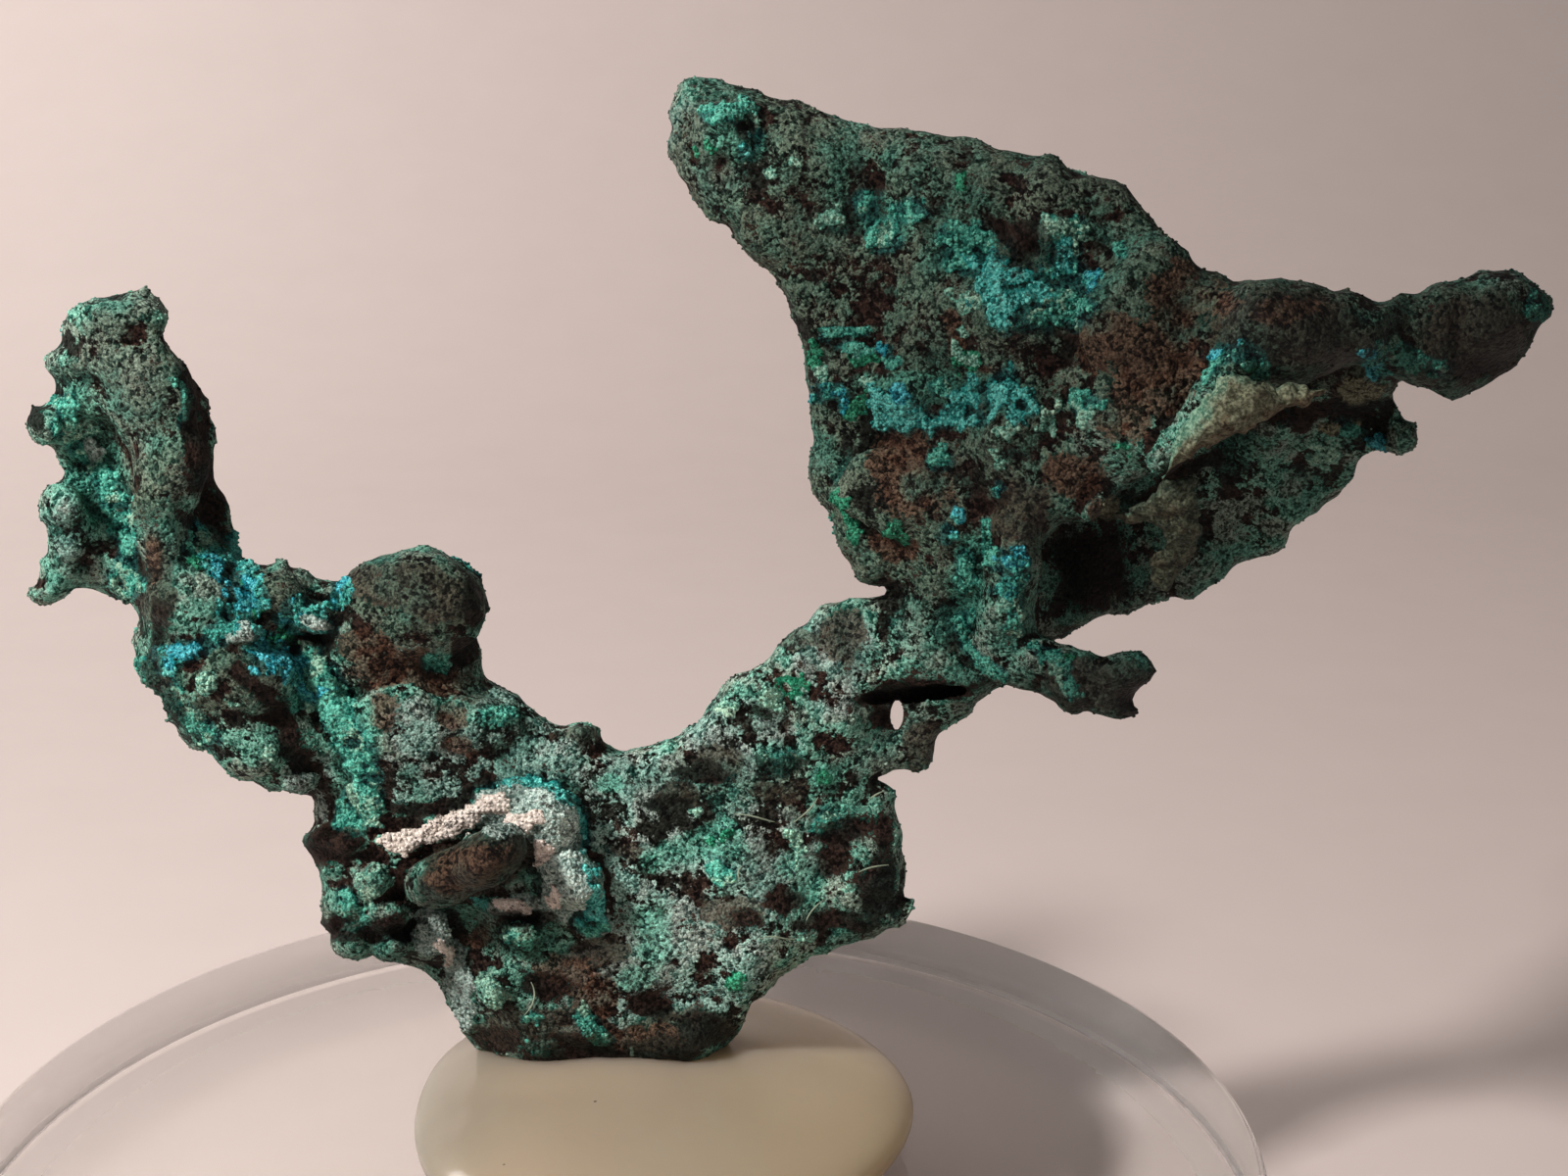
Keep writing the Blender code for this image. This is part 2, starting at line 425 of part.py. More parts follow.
def copper(parts, cutters, finish_material):
    """The whole nugget: sheets, lumps and ridges joined into one worn body."""
    meshes = [
        sheet(SHEET_OUTLINE, SHEET_ANCHORS, cutters),
        sheet(BACK_OUTLINE, BACK_ANCHORS, cutters),
        sheet(TWIG_OUTLINE, TWIG_ANCHORS, cutters),
        sheet(LONG_FLAP_OUTLINE, LONG_FLAP_ANCHORS, cutters),
        sheet(SHORT_FLAP_OUTLINE, SHORT_FLAP_ANCHORS, cutters),
    ]
    meshes += [lump(*sizes) for sizes in LUMPS]
    meshes += [ridge(route, cutters) for route in RIDGES]
    obj = add_object("nugget", remeshed(joined(meshes), VOXEL, cutters), cutters)
    for place, sizes in enumerate(SLOTS):
        cutter = add_object(f"slot{place}", lump(*sizes), cutters)
        hide(cutter)
        slot = obj.modifiers.new("slot", "BOOLEAN")
        slot.operation = "DIFFERENCE"
        slot.solver = "EXACT"
        slot.object = cutter
    grid = obj.modifiers.new("grid", "REMESH")
    grid.mode = "VOXEL"
    grid.voxel_size = VOXEL
    melt = obj.modifiers.new("melt", "SMOOTH")
    melt.factor = 0.5
    melt.iterations = 3
    for size, height in ((2.2, GRAIN), (0.9, GRAIN * 0.45)):
        clouds = bpy.data.textures.new("grain", "CLOUDS")
        clouds.noise_scale = size
        clouds.noise_depth = 2
        grain = obj.modifiers.new("grain", "DISPLACE")
        grain.texture = clouds
        grain.texture_coords = "LOCAL"
        grain.strength = height * 2
        grain.mid_level = 0.5
    mesh = baked_mesh(obj)
    set_points(mesh, seen_from_eye(points_of(mesh)))
    obj = add_object("nugget", mesh, cutters)
    thin = obj.modifiers.new("thin", "DECIMATE")
    mesh.calc_loop_triangles()
    thin.ratio = COPPER_TRIANGLES / len(mesh.loop_triangles)
    thin.use_collapse_triangulate = True
    return finish(baked_mesh(obj), "copper_nugget", finish_material, parts)


def socket_cutter(nugget, cutters):
    """The copper's foot, swollen by the clearance."""
    made = bmesh.new()
    made.from_mesh(nugget.data)
    level = Vector((0.0, 0.0, SOCKET_TOP * MM))
    cut = bmesh.ops.bisect_plane(
        made, geom=made.verts[:] + made.edges[:] + made.faces[:], plane_co=level,
        plane_no=(0.0, 0.0, 1.0), clear_outer=True,
    )
    rim = [item for item in cut["geom_cut"] if isinstance(item, bmesh.types.BMEdge)]
    bmesh.ops.holes_fill(made, edges=rim, sides=0)
    mesh = bpy.data.meshes.new("socket")
    made.to_mesh(mesh)
    made.free()
    cutter = add_object("socket", mesh, cutters)
    hide(cutter)
    grid = cutter.modifiers.new("grid", "REMESH")
    grid.mode = "VOXEL"
    grid.voxel_size = SOCKET_VOXEL * MM
    swell = cutter.modifiers.new("swell", "DISPLACE")
    swell.strength = (TOUCH_GAP + 0.12) * MM
    swell.mid_level = 0.0
    return cutter


def putty(parts, cutters, nugget, finish_material):
    """A flattened ball, level over the base and drawn up around the foot of the copper."""
    made = bmesh.new()
    bmesh.ops.create_uvsphere(made, u_segments=40, v_segments=22, radius=1.0)
    place = Matrix.Translation(PUTTY_CENTRE) @ Matrix.Diagonal((*PUTTY_RADII, 1.0))
    bmesh.ops.transform(made, matrix=place, verts=made.verts)
    for vert in made.verts:
        across = (vert.co.x - PUTTY_MOUND_CENTRE[0]) / PUTTY_MOUND_RADII[0]
        deep = (vert.co.y - PUTTY_MOUND_CENTRE[1]) / PUTTY_MOUND_RADII[1]
        if vert.co.z > PUTTY_CENTRE[2]:
            vert.co.z += PUTTY_MOUND * math.exp(-(across**4) - deep**4)
    level = BASE_HEIGHT + TOUCH_GAP
    cut = bmesh.ops.bisect_plane(
        made, geom=made.verts[:] + made.edges[:] + made.faces[:],
        plane_co=(0.0, 0.0, level), plane_no=(0.0, 0.0, -1.0), clear_outer=True,
    )
    rim = [item for item in cut["geom_cut"] if isinstance(item, bmesh.types.BMEdge)]
    bmesh.ops.contextual_create(made, geom=rim)
    mesh = bpy.data.meshes.new("putty")
    made.to_mesh(mesh)
    made.free()
    pad = finish(mesh, "mounting_putty", finish_material, parts)
    socket = pad.modifiers.new("socket", "BOOLEAN")
    socket.operation = "DIFFERENCE"
    socket.solver = "EXACT"
    socket.object = socket_cutter(nugget, cutters)
    return pad


def base(parts, finish_material):
    """The clear disc, standing on the origin."""
    made = bmesh.new()
    bmesh.ops.create_cone(
        made, cap_ends=True, segments=BASE_SIDES, radius1=BASE_RADIUS * MM,
        radius2=BASE_RADIUS * MM, depth=BASE_HEIGHT * MM,
    )
    bmesh.ops.translate(made, verts=made.verts, vec=(0.0, 0.0, BASE_HEIGHT * MM / 2))
    mesh = bpy.data.meshes.new("display_base")
    made.to_mesh(mesh)
    made.free()
    mesh.materials.append(finish_material)
    disc = add_object("display_base", mesh, parts)
    rims = disc.modifiers.new("rims", "BEVEL")
    rims.width = BASE_EDGE * MM
    rims.segments = 2
    rims.limit_method = "ANGLE"
    rims.angle_limit = math.radians(40)
    return disc


def main():
    clear_scene()
    parts = collection("native_copper_specimen")
    cutters = collection("cutters")
    verdigris = material("weathered_copper", (0.11, 0.16, 0.13), 0.75, metallic=0.3)
    nugget = copper(parts, cutters, verdigris)
    putty(parts, cutters, nugget, material("putty", (0.62, 0.58, 0.47), 0.3))
    base(parts, material("clear_acrylic", (0.95, 0.95, 0.94), 0.03, transmission=1.0))


main()
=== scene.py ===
# %% [markdown]
# # A native copper specimen on a clear base
#
# Native copper often grows as a thin, branching, hackly plate. This one is an arm, a body and a
# folded leaf in one piece. Damp air and water have turned its skin to brown and black oxides and
# to green and blue crusts. It stands in a pad of translucent putty on a clear, polished disc.
#
# Every length in this file is in millimetres until a mesh is made, and metres after that.

import math

import bpy
import numpy as np
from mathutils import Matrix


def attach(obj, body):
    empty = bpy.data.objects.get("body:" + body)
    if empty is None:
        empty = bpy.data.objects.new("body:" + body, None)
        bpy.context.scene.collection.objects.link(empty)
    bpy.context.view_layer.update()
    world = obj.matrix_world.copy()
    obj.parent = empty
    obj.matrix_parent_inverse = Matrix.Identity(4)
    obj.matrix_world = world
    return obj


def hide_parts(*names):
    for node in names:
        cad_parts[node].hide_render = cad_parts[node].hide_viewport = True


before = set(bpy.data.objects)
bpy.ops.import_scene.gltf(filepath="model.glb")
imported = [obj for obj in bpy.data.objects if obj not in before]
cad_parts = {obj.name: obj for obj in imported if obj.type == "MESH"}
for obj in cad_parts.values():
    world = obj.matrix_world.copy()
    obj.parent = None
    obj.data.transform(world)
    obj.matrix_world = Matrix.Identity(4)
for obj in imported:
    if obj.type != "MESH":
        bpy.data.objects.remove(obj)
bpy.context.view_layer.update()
MM = 0.001  # metres in a millimetre
print("solids:", ", ".join(sorted(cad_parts)))


# %% [markdown]
# ## The viewpoint
#
# The show side is looked at from a little above. All outlines of the copper are drawn on an
# upright plane through the middle of the base, as they look from this point. That makes a bent
# plate easy to draw: its outline is drawn flat, and its depth is given apart.

# %% Camera
TILT = math.radians(15)  # how far the camera looks down
REACH = 87.0  # from the camera to its target
TARGET = np.array([6.7, 0.0, 30.4])
EYE = TARGET + REACH * np.array([0.0, -math.cos(TILT), math.sin(TILT)])

camera_data = bpy.data.cameras.new("camera")
camera_data.lens = 54.0
camera_data.sensor_width = 36.0
camera_data.clip_start = 0.001
camera = bpy.data.objects.new("camera", camera_data)
camera.location = EYE * MM
camera.rotation_euler = (math.pi / 2 - TILT, 0.0, 0.0)
bpy.context.scene.collection.objects.link(camera)
bpy.context.scene.camera = camera
print("camera at", np.round(EYE, 1), "mm")

# %% [markdown]
# ## Two kinds of noise
#
# Rough stone needs two patterns. Value noise gives soft swellings: random numbers sit on a
# lattice and are blended between its points. Cell noise gives packed grains: each box of a
# lattice holds one random point, and the value is the distance to the nearest of them.

# %% Noise
def hashed(i, j, k, seed):
    """A number from 0 to 1 for each lattice point: three whole numbers are multiplied by large odd
    constants, mixed by exclusive or, and the low bits are kept."""
    mixed = (i * 374761393 + j * 668265263 + k * 2147483647 + seed * 974634777) & 0xFFFFFFFF
    mixed = ((mixed ^ (mixed >> 13)) * 1274126177) & 0xFFFFFFFF
    mixed = ((mixed ^ (mixed >> 16)) * 2246822519) & 0xFFFFFFFF
    return ((mixed ^ (mixed >> 15)) & 0xFFFF) / 65535.0


def value_noise(points, size, seed):
    """Between -1 and 1. Each of a lattice box's 8 corners counts by the product, over the three
    axes, of the smooth step of how near the point is to it."""
    scaled = points / size
    low = np.floor(scaled).astype(np.int64)
    share = scaled - low
    share = share * share * (3.0 - 2.0 * share)
    total = np.zeros(len(points))
    for a in (0, 1):
        for b in (0, 1):
            for c in (0, 1):
                weight = np.abs(1 - a - share[:, 0]) * np.abs(1 - b - share[:, 1])
                weight = weight * np.abs(1 - c - share[:, 2])
                total += weight * hashed(low[:, 0] + a, low[:, 1] + b, low[:, 2] + c, seed)
    return total * 2.0 - 1.0


def cell_noise(points, size, seed):
    """The distance to the nearest scattered point, in lattice steps: one point at a random place
    in each box, looked for in the 27 boxes round each point."""
    scaled = points / size
    low = np.floor(scaled).astype(np.int64)
    nearest = np.full(len(points), 9.0)
    for a in (-1, 0, 1):
        for b in (-1, 0, 1):
            for c in (-1, 0, 1):
                i, j, k = low[:, 0] + a, low[:, 1] + b, low[:, 2] + c
                gap = (i + hashed(i, j, k, seed) - scaled[:, 0]) ** 2
                gap += (j + hashed(i, j, k, seed + 1) - scaled[:, 1]) ** 2
                gap += (k + hashed(i, j, k, seed + 2) - scaled[:, 2]) ** 2
                nearest = np.minimum(nearest, gap)
    return np.sqrt(nearest)


def smooth_step(value, low, high):
    """0 below low, 1 above high, and 3t² - 2t³ between them."""
    share = np.clip((value - low) / (high - low), 0.0, 1.0)
    return share * share * (3.0 - 2.0 * share)


sample = value_noise(np.linspace(0, 50, 999)[:, None] * np.ones(3), 1.0, 1)
print("value noise runs from", sample.min().round(2), "to", sample.max().round(2))

# %% [markdown]
# ## The copper's outlines
#
# The main sheet's edge is listed in runs, clockwise from the top of its arm, as (x, z). Two more
# sheets are drawn apart: the leaf behind the fold, and the twig.

# %% Outlines
ARM_TOP = [
    (-19.4, 39.6), (-19.3, 40.2), (-18.9, 40.8), (-18.2, 41.1), (-17.5, 41.35), (-16.8, 41.55),
    (-16.15, 41.5), (-15.6, 41.2), (-15.4, 40.7), (-15.4, 40.25), (-15.75, 39.9), (-15.75, 39.25),
    (-15.3, 39.1), (-14.9, 38.75), (-14.55, 38.05), (-14.25, 37.2), (-14.05, 36.4), (-14.05, 35.7),
    (-14.2, 35.1), (-14.0, 34.25), (-13.8, 33.8), (-13.6, 32.85), (-13.45, 32.05), (-13.35, 31.7),
]
BODY_TOP = [
    (-12.85, 31.45), (-12.2, 31.45), (-11.9, 31.65), (-11.6, 31.6), (-11.45, 31.25), (-10.95, 31.25),
    (-10.55, 30.9), (-10.2, 30.8), (-9.8, 30.75), (-9.45, 30.9), (-9.35, 31.05), (-8.9, 31.15),
    (-8.35, 31.4), (-7.65, 31.65), (-7.05, 31.85), (-6.65, 31.9), (-5.95, 31.75), (-5.35, 31.5),
    (-4.75, 31.15), (-4.4, 30.7), (-4.3, 30.2), (-4.3, 29.55), (-4.5, 29.25), (-4.75, 28.95),
    (-4.85, 28.5), (-4.7, 28.1), (-4.55, 27.6), (-4.5, 27.2), (-4.35, 26.9), (-3.9, 26.8),
    (-3.55, 26.55), (-2.65, 26.0), (-1.6, 25.1), (-1.2, 25.25), (-0.65, 25.2), (-0.35, 24.9),
    (-0.2, 24.25),
]
NECK_TOP = [
    (0.3, 24.15), (0.9, 24.0), (1.55, 24.2), (2.1, 24.4), (2.7, 24.7), (3.4, 25.1), (3.75, 25.55),
    (4.1, 26.05), (4.45, 26.45), (5.0, 26.95), (5.6, 27.4), (6.1, 27.9), (6.7, 28.4), (7.05, 28.85),
    (7.45, 29.25), (7.75, 29.65), (8.2, 29.85), (8.8, 30.0), (9.3, 30.1), (9.7, 30.05),
    (9.95, 29.95), (10.3, 30.0), (10.75, 30.3),
]
LEAF_LEFT = [
    (10.35, 30.55), (9.8, 30.5), (9.5, 30.65), (9.2, 31.15), (8.9, 31.7), (8.7, 32.3), (8.5, 32.85),
    (8.15, 33.3), (7.85, 33.7), (7.6, 34.2), (7.5, 34.6), (7.55, 35.15), (7.55, 35.85), (7.5, 36.4),
    (7.55, 36.9), (7.55, 37.75), (7.4, 38.3), (7.3, 39.1), (7.15, 39.85), (7.1, 40.15), (6.8, 40.55),
    (6.55, 41.15), (6.35, 41.8), (6.1, 42.4), (5.65, 42.8), (5.05, 43.25), (4.5, 43.8), (4.0, 44.25),
    (3.55, 44.7), (3.3, 45.1), (2.95, 45.55), (2.65, 46.05), (2.5, 46.5), (2.55, 46.85), (2.7, 47.15),
    (2.6, 47.35), (2.6, 47.8), (2.8, 48.2), (3.15, 48.7), (3.6, 48.9),
]
LEAF_TOP = [
    (4.2, 48.75), (5.0, 48.55), (5.7, 48.4), (6.3, 48.25), (6.9, 48.15), (7.5, 47.85), (8.25, 47.6),
    (8.75, 47.4), (9.55, 47.3), (10.25, 47.15), (10.8, 47.0), (11.4, 46.9), (12.0, 46.85),
    (12.5, 46.7), (13.1, 46.55), (13.8, 46.45), (14.5, 46.4), (15.1, 46.3), (15.65, 46.2),
    (16.3, 46.1), (16.75, 45.85), (17.1, 45.6), (17.7, 45.45), (18.4, 45.3), (18.8, 45.1),
    (19.15, 44.75), (19.6, 44.4), (19.95, 43.95), (20.4, 43.5), (20.85, 43.1), (21.15, 42.95),
    (21.5, 42.45), (21.85, 42.15), (22.25, 42.05), (22.75, 41.8), (23.3, 41.85), (24.2, 41.85),
    (24.9, 41.75), (25.5, 41.6), (26.15, 41.5), (26.95, 41.5), (27.4, 41.3), (27.7, 41.15),
]
HORN = [
    (27.95, 41.05), (28.5, 41.0), (29.05, 41.05), (29.55, 41.2), (30.0, 41.45), (30.55, 41.6),
    (31.1, 41.8), (31.65, 42.05), (32.3, 42.1), (33.0, 42.05), (33.4, 41.75), (33.65, 41.3),
    (33.9, 40.9), (34.15, 40.65), (34.15, 40.35), (33.9, 40.2), (33.5, 40.0), (33.2, 39.55),
    (32.9, 38.95), (32.4, 38.4), (31.95, 38.0), (31.5, 37.75), (31.05, 37.65), (30.35, 37.8),
    (29.65, 37.95), (29.25, 38.0),
]
LEAF_FOLD = [
    (28.2, 38.6), (27.2, 38.9), (26.2, 38.3), (25.0, 37.95), (24.0, 38.0), (23.2, 38.1),
    (22.3, 37.4), (21.3, 36.3), (20.4, 35.0), (19.6, 34.3), (18.9, 33.8), (18.4, 33.4), (18.1, 32.8),
    (17.6, 32.8), (16.9, 32.8), (16.3, 31.8), (16.2, 29.4), (16.0, 27.6), (15.3, 26.8),
]
NECK_UNDER = [
    (14.75, 26.6), (14.25, 26.1), (13.85, 25.65), (13.5, 25.3), (13.0, 24.95), (12.6, 24.6),
    (12.5, 24.3), (12.5, 23.6), (12.35, 23.3), (11.9, 23.05), (11.0, 23.05), (10.3, 23.05),
    (10.15, 22.95), (10.35, 22.85),
]
FOOT_RIGHT = [
    (10.65, 22.7), (10.95, 22.4), (11.05, 21.75), (11.15, 20.85), (11.25, 20.05), (11.35, 19.15),
    (11.4, 18.55), (11.25, 17.9), (11.2, 17.2), (11.05, 16.85), (10.6, 16.55), (10.0, 16.25),
    (9.35, 16.15), (8.9, 16.05), (8.35, 15.85), (7.65, 15.7), (7.2, 15.5), (6.7, 15.1),
    (6.35, 14.75), (6.05, 14.25), (5.55, 13.75), (5.2, 13.15), (4.8, 12.55), (4.4, 11.95),
    (4.0, 11.5), (3.55, 11.05), (3.05, 10.7),
]
FOOT_LEFT = [
    (2.0, 10.4), (0.0, 10.3), (-2.0, 10.5), (-4.0, 10.8), (-5.0, 11.4), (-5.4, 11.9), (-5.85, 12.4),
    (-6.05, 12.9), (-6.25, 13.35), (-6.45, 13.95), (-6.7, 14.45), (-7.05, 14.7), (-7.35, 14.95),
    (-7.8, 15.2), (-8.2, 15.35), (-8.5, 15.45), (-8.9, 15.8), (-9.6, 15.8), (-9.95, 15.7),
    (-10.35, 16.25), (-10.75, 16.65), (-11.1, 17.1), (-11.1, 17.75), (-11.0, 18.45), (-11.0, 19.1),
    (-11.2, 19.65), (-11.4, 20.05), (-11.55, 20.4), (-11.4, 20.8), (-11.15, 21.1),
]
BODY_LEFT = [
    (-11.2, 21.55), (-11.3, 22.05), (-12.1, 22.2), (-12.85, 22.4), (-13.35, 22.65), (-13.8, 23.1),
    (-14.2, 23.35), (-14.55, 23.85), (-14.9, 24.25), (-15.2, 24.1), (-15.6, 24.15), (-15.95, 24.65),
    (-16.15, 25.1), (-16.55, 25.15), (-16.6, 25.65), (-16.8, 26.2), (-17.15, 26.45), (-17.4, 26.8),
    (-17.4, 27.4), (-17.55, 27.95), (-17.7, 28.4), (-17.45, 28.8), (-17.3, 29.2), (-17.4, 29.7),
]
ARM_LEFT = [
    (-18.0, 29.9), (-18.4, 30.2), (-18.85, 30.3), (-19.5, 30.15), (-20.0, 29.85), (-20.3, 29.7),
    (-20.8, 29.75), (-21.3, 29.9), (-21.4, 30.3), (-20.95, 30.65), (-20.85, 31.0), (-20.85, 31.45),
    (-20.4, 31.9), (-20.25, 32.4), (-20.4, 32.85), (-20.45, 33.3), (-20.25, 33.9), (-19.9, 34.35),
    (-19.5, 34.7), (-19.6, 34.85), (-19.9, 35.2), (-20.25, 35.65), (-20.8, 36.1), (-20.95, 36.55),
    (-20.75, 36.95), (-20.7, 37.4), (-20.3, 37.45), (-19.7, 37.65), (-19.65, 38.1), (-19.95, 38.4),
    (-20.0, 38.7), (-19.8, 39.1), (-19.45, 39.35),
]
MAIN_EDGE = (
    ARM_TOP + BODY_TOP + NECK_TOP + LEAF_LEFT + LEAF_TOP + HORN + LEAF_FOLD + NECK_UNDER
    + FOOT_RIGHT + FOOT_LEFT + BODY_LEFT + ARM_LEFT
)
BACK_EDGE = [
    (17.0, 28.45), (17.35, 28.7), (17.85, 29.0), (18.25, 29.2), (18.75, 29.4), (19.45, 29.4),
    (20.25, 29.6), (21.05, 29.7), (21.85, 29.75), (22.2, 30.0), (22.75, 30.45), (23.2, 30.95),
    (23.7, 31.45), (24.3, 31.7), (24.75, 31.8), (25.15, 32.15), (25.4, 32.55), (26.1, 33.0),
    (26.6, 33.4), (27.05, 33.8), (27.4, 34.2), (27.6, 34.55), (27.7, 34.85), (27.95, 35.1),
    (28.35, 35.3), (28.6, 35.45), (29.0, 35.4), (29.55, 35.45), (29.8, 35.65), (29.9, 35.95),
    (29.75, 36.35), (29.45, 36.65), (29.1, 37.15), (28.9, 37.6), (29.0, 38.4), (27.4, 40.2),
    (24.6, 40.9), (21.4, 41.4), (17.4, 39.0), (14.4, 34.6), (13.8, 30.6), (14.6, 28.0),
]
TWIG_EDGE = [
    (15.4, 28.2), (16.4, 28.6), (17.25, 28.15), (17.55, 28.05), (18.05, 28.05), (18.6, 27.8),
    (19.1, 27.8), (19.5, 27.95), (19.95, 28.05), (20.3, 27.7), (20.6, 27.4), (20.95, 27.35),
    (20.9, 27.1), (20.6, 27.0), (20.45, 26.6), (20.0, 26.3), (19.75, 26.05), (19.85, 25.85),
    (20.15, 25.75), (20.05, 25.4), (19.55, 25.1), (19.1, 25.1), (18.6, 25.4), (18.05, 25.55),
    (17.6, 25.35), (17.05, 25.6), (16.75, 25.95), (16.15, 26.25), (16.1, 26.7), (15.4, 26.9),
]
print(len(MAIN_EDGE), "points round the main sheet")

# %% [markdown]
# ## Depth and thickness
#
# At chosen points the sheet's middle has a known depth (away from the viewer is positive) and a
# known thickness. Everywhere else both are a mean of those, in which near points count most.

# %% Depths
MAIN_DEPTHS = [
    # arm: a ridge on the right, a trough beside it, knobs on the left
    (-17.3, 40.3, 0.6, 3.6), (-18.6, 38.6, 0.6, 3.2), (-16.2, 37.6, 0.2, 4.6),
    (-14.4, 36.5, 2.6, 3.0), (-15.8, 34.6, 0.3, 4.8), (-14.1, 34.0, 2.8, 3.0),
    (-20.0, 36.6, 0.6, 2.6), (-18.4, 35.6, 1.6, 2.4), (-18.2, 33.6, 1.6, 2.6),
    (-19.6, 33.0, 0.7, 3.0), (-20.6, 30.2, 0.2, 2.2), (-18.2, 31.4, 1.2, 3.0),
    # body
    (-15.6, 30.0, 0.2, 4.8), (-14.8, 26.8, 0.0, 5.0), (-12.4, 24.2, 0.2, 4.4),
    (-12.2, 30.2, 0.4, 3.8), (-10.4, 29.0, 1.0, 3.2), (-10.2, 25.6, 0.8, 3.2),
    (-10.6, 22.4, 0.6, 3.0), (-6.9, 29.8, 0.0, 5.0), (-5.2, 27.6, 0.8, 3.2),
    (-7.6, 24.8, 0.0, 4.6), (-3.6, 24.6, 0.2, 3.2),
    # foot
    (-9.8, 19.0, 0.0, 4.0), (-9.6, 16.6, 0.2, 3.2), (-6.9, 15.6, 1.0, 2.0),
    (-6.2, 13.4, 0.9, 1.8), (-4.6, 19.4, 0.4, 4.0), (-3.2, 14.2, 0.0, 3.8),
    (0.0, 11.8, 0.0, 3.0), (0.2, 17.4, 0.2, 3.8), (4.2, 16.6, 0.2, 3.4),
    (9.6, 18.4, 0.7, 2.6), (10.2, 21.6, 0.6, 2.2), (3.2, 12.6, 0.2, 3.0),
    # neck
    (0.2, 22.0, 0.1, 3.2), (4.8, 23.4, 0.1, 2.8), (8.0, 26.0, 0.2, 2.4),
    (11.6, 24.2, 0.7, 1.8), (9.4, 28.8, 0.1, 2.2), (12.8, 28.2, -0.4, 2.6),
    # leaf: its right side stands forward and rolls over a fold
    (9.4, 32.4, 0.2, 2.8), (8.6, 36.4, 0.6, 2.8), (8.6, 40.4, 0.8, 3.0),
    (4.4, 46.8, 1.4, 3.4), (8.4, 44.8, 0.9, 3.4), (13.0, 44.4, 0.0, 3.6),
    (17.0, 43.8, -1.2, 3.6), (12.0, 37.6, -0.8, 3.2), (12.4, 33.6, -1.0, 3.2),
    (15.6, 40.0, -2.0, 3.4), (15.4, 35.8, -2.6, 3.0), (17.6, 34.4, -3.2, 2.2),
    (20.0, 41.2, -3.4, 3.6), (19.6, 36.8, -4.2, 2.8), (24.6, 39.9, -5.2, 4.0),
    (27.2, 40.0, -4.8, 3.4), (29.4, 39.6, -3.2, 3.4), (32.0, 39.9, -2.4, 4.0),
    (16.0, 30.0, -1.2, 3.0),
]
BACK_DEPTHS = [
    (15.0, 29.0, 0.4, 2.6), (17.4, 29.2, 1.0, 2.0), (20.0, 30.6, 2.4, 1.6),
    (23.0, 32.0, 2.6, 1.6), (26.0, 34.2, 1.8, 1.6), (27.6, 36.4, 0.6, 1.6),
    (29.4, 36.2, -0.6, 2.0), (18.0, 33.4, 2.6, 1.8), (21.6, 35.6, 2.0, 1.8),
    (24.6, 37.4, 0.4, 1.8), (28.0, 38.8, -2.4, 2.2), (24.6, 40.2, -3.6, 2.6),
    (21.4, 40.6, -2.4, 2.6), (17.6, 38.2, -1.4, 2.6), (14.8, 34.0, -0.6, 2.8),
]
TWIG_DEPTHS = [
    (15.8, 27.6, -2.6, 2.4), (18.0, 26.8, -3.6, 2.0), (19.9, 27.2, -4.4, 1.6), (19.4, 25.6, -4.0, 1.3),
]
SPREAD = 1.7  # reach of one listed depth


def blended(x, z, depths):
    """Depth and thickness at (x, z): the mean of the listed ones, each counted by one over the
    square of (a little + its squared distance in units of SPREAD)."""
    table = np.array(depths)
    square = ((x[..., None] - table[:, 0]) ** 2 + (z[..., None] - table[:, 1]) ** 2) / SPREAD**2
    weight = 1.0 / (0.15 + square) ** 2
    weight /= weight.sum(axis=-1, keepdims=True)
    return weight @ table[:, 2], weight @ table[:, 3]


def edge_distance(x, z, edge):
    """Distance from each (x, z) to the closed line, negative inside it. It is the least of the
    distances to the line's pieces, and a point is inside where a ray from it crosses the line an
    odd number of times."""
    start = np.array(edge)
    end = np.roll(start, -1, axis=0)
    shape, x, z = x.shape, x.ravel(), z.ravel()
    least = np.full(x.shape, 1e9)
    inside = np.zeros(x.shape, bool)
    for (ax, az), (bx, bz) in zip(start, end):
        run, rise = bx - ax, bz - az
        share = np.clip(((x - ax) * run + (z - az) * rise) / (run**2 + rise**2), 0.0, 1.0)
        least = np.minimum(least, (x - ax - share * run) ** 2 + (z - az - share * rise) ** 2)
        if az != bz:
            inside ^= ((az > z) != (bz > z)) & (x < ax + run * (z - az) / rise)
    return (np.sqrt(least) * np.where(inside, -1.0, 1.0)).reshape(shape)


print(len(MAIN_DEPTHS) + len(BACK_DEPTHS) + len(TWIG_DEPTHS), "listed depths")

# %% [markdown]
# ## Lumps, ridges and pits
#
# The sheets carry ball-like lumps, a few tubes that follow a route, and holes. A lump is listed
# as (x, depth, z, half width, half depth, half height, tilt), a tube's point as (x, depth, z,
# radius).

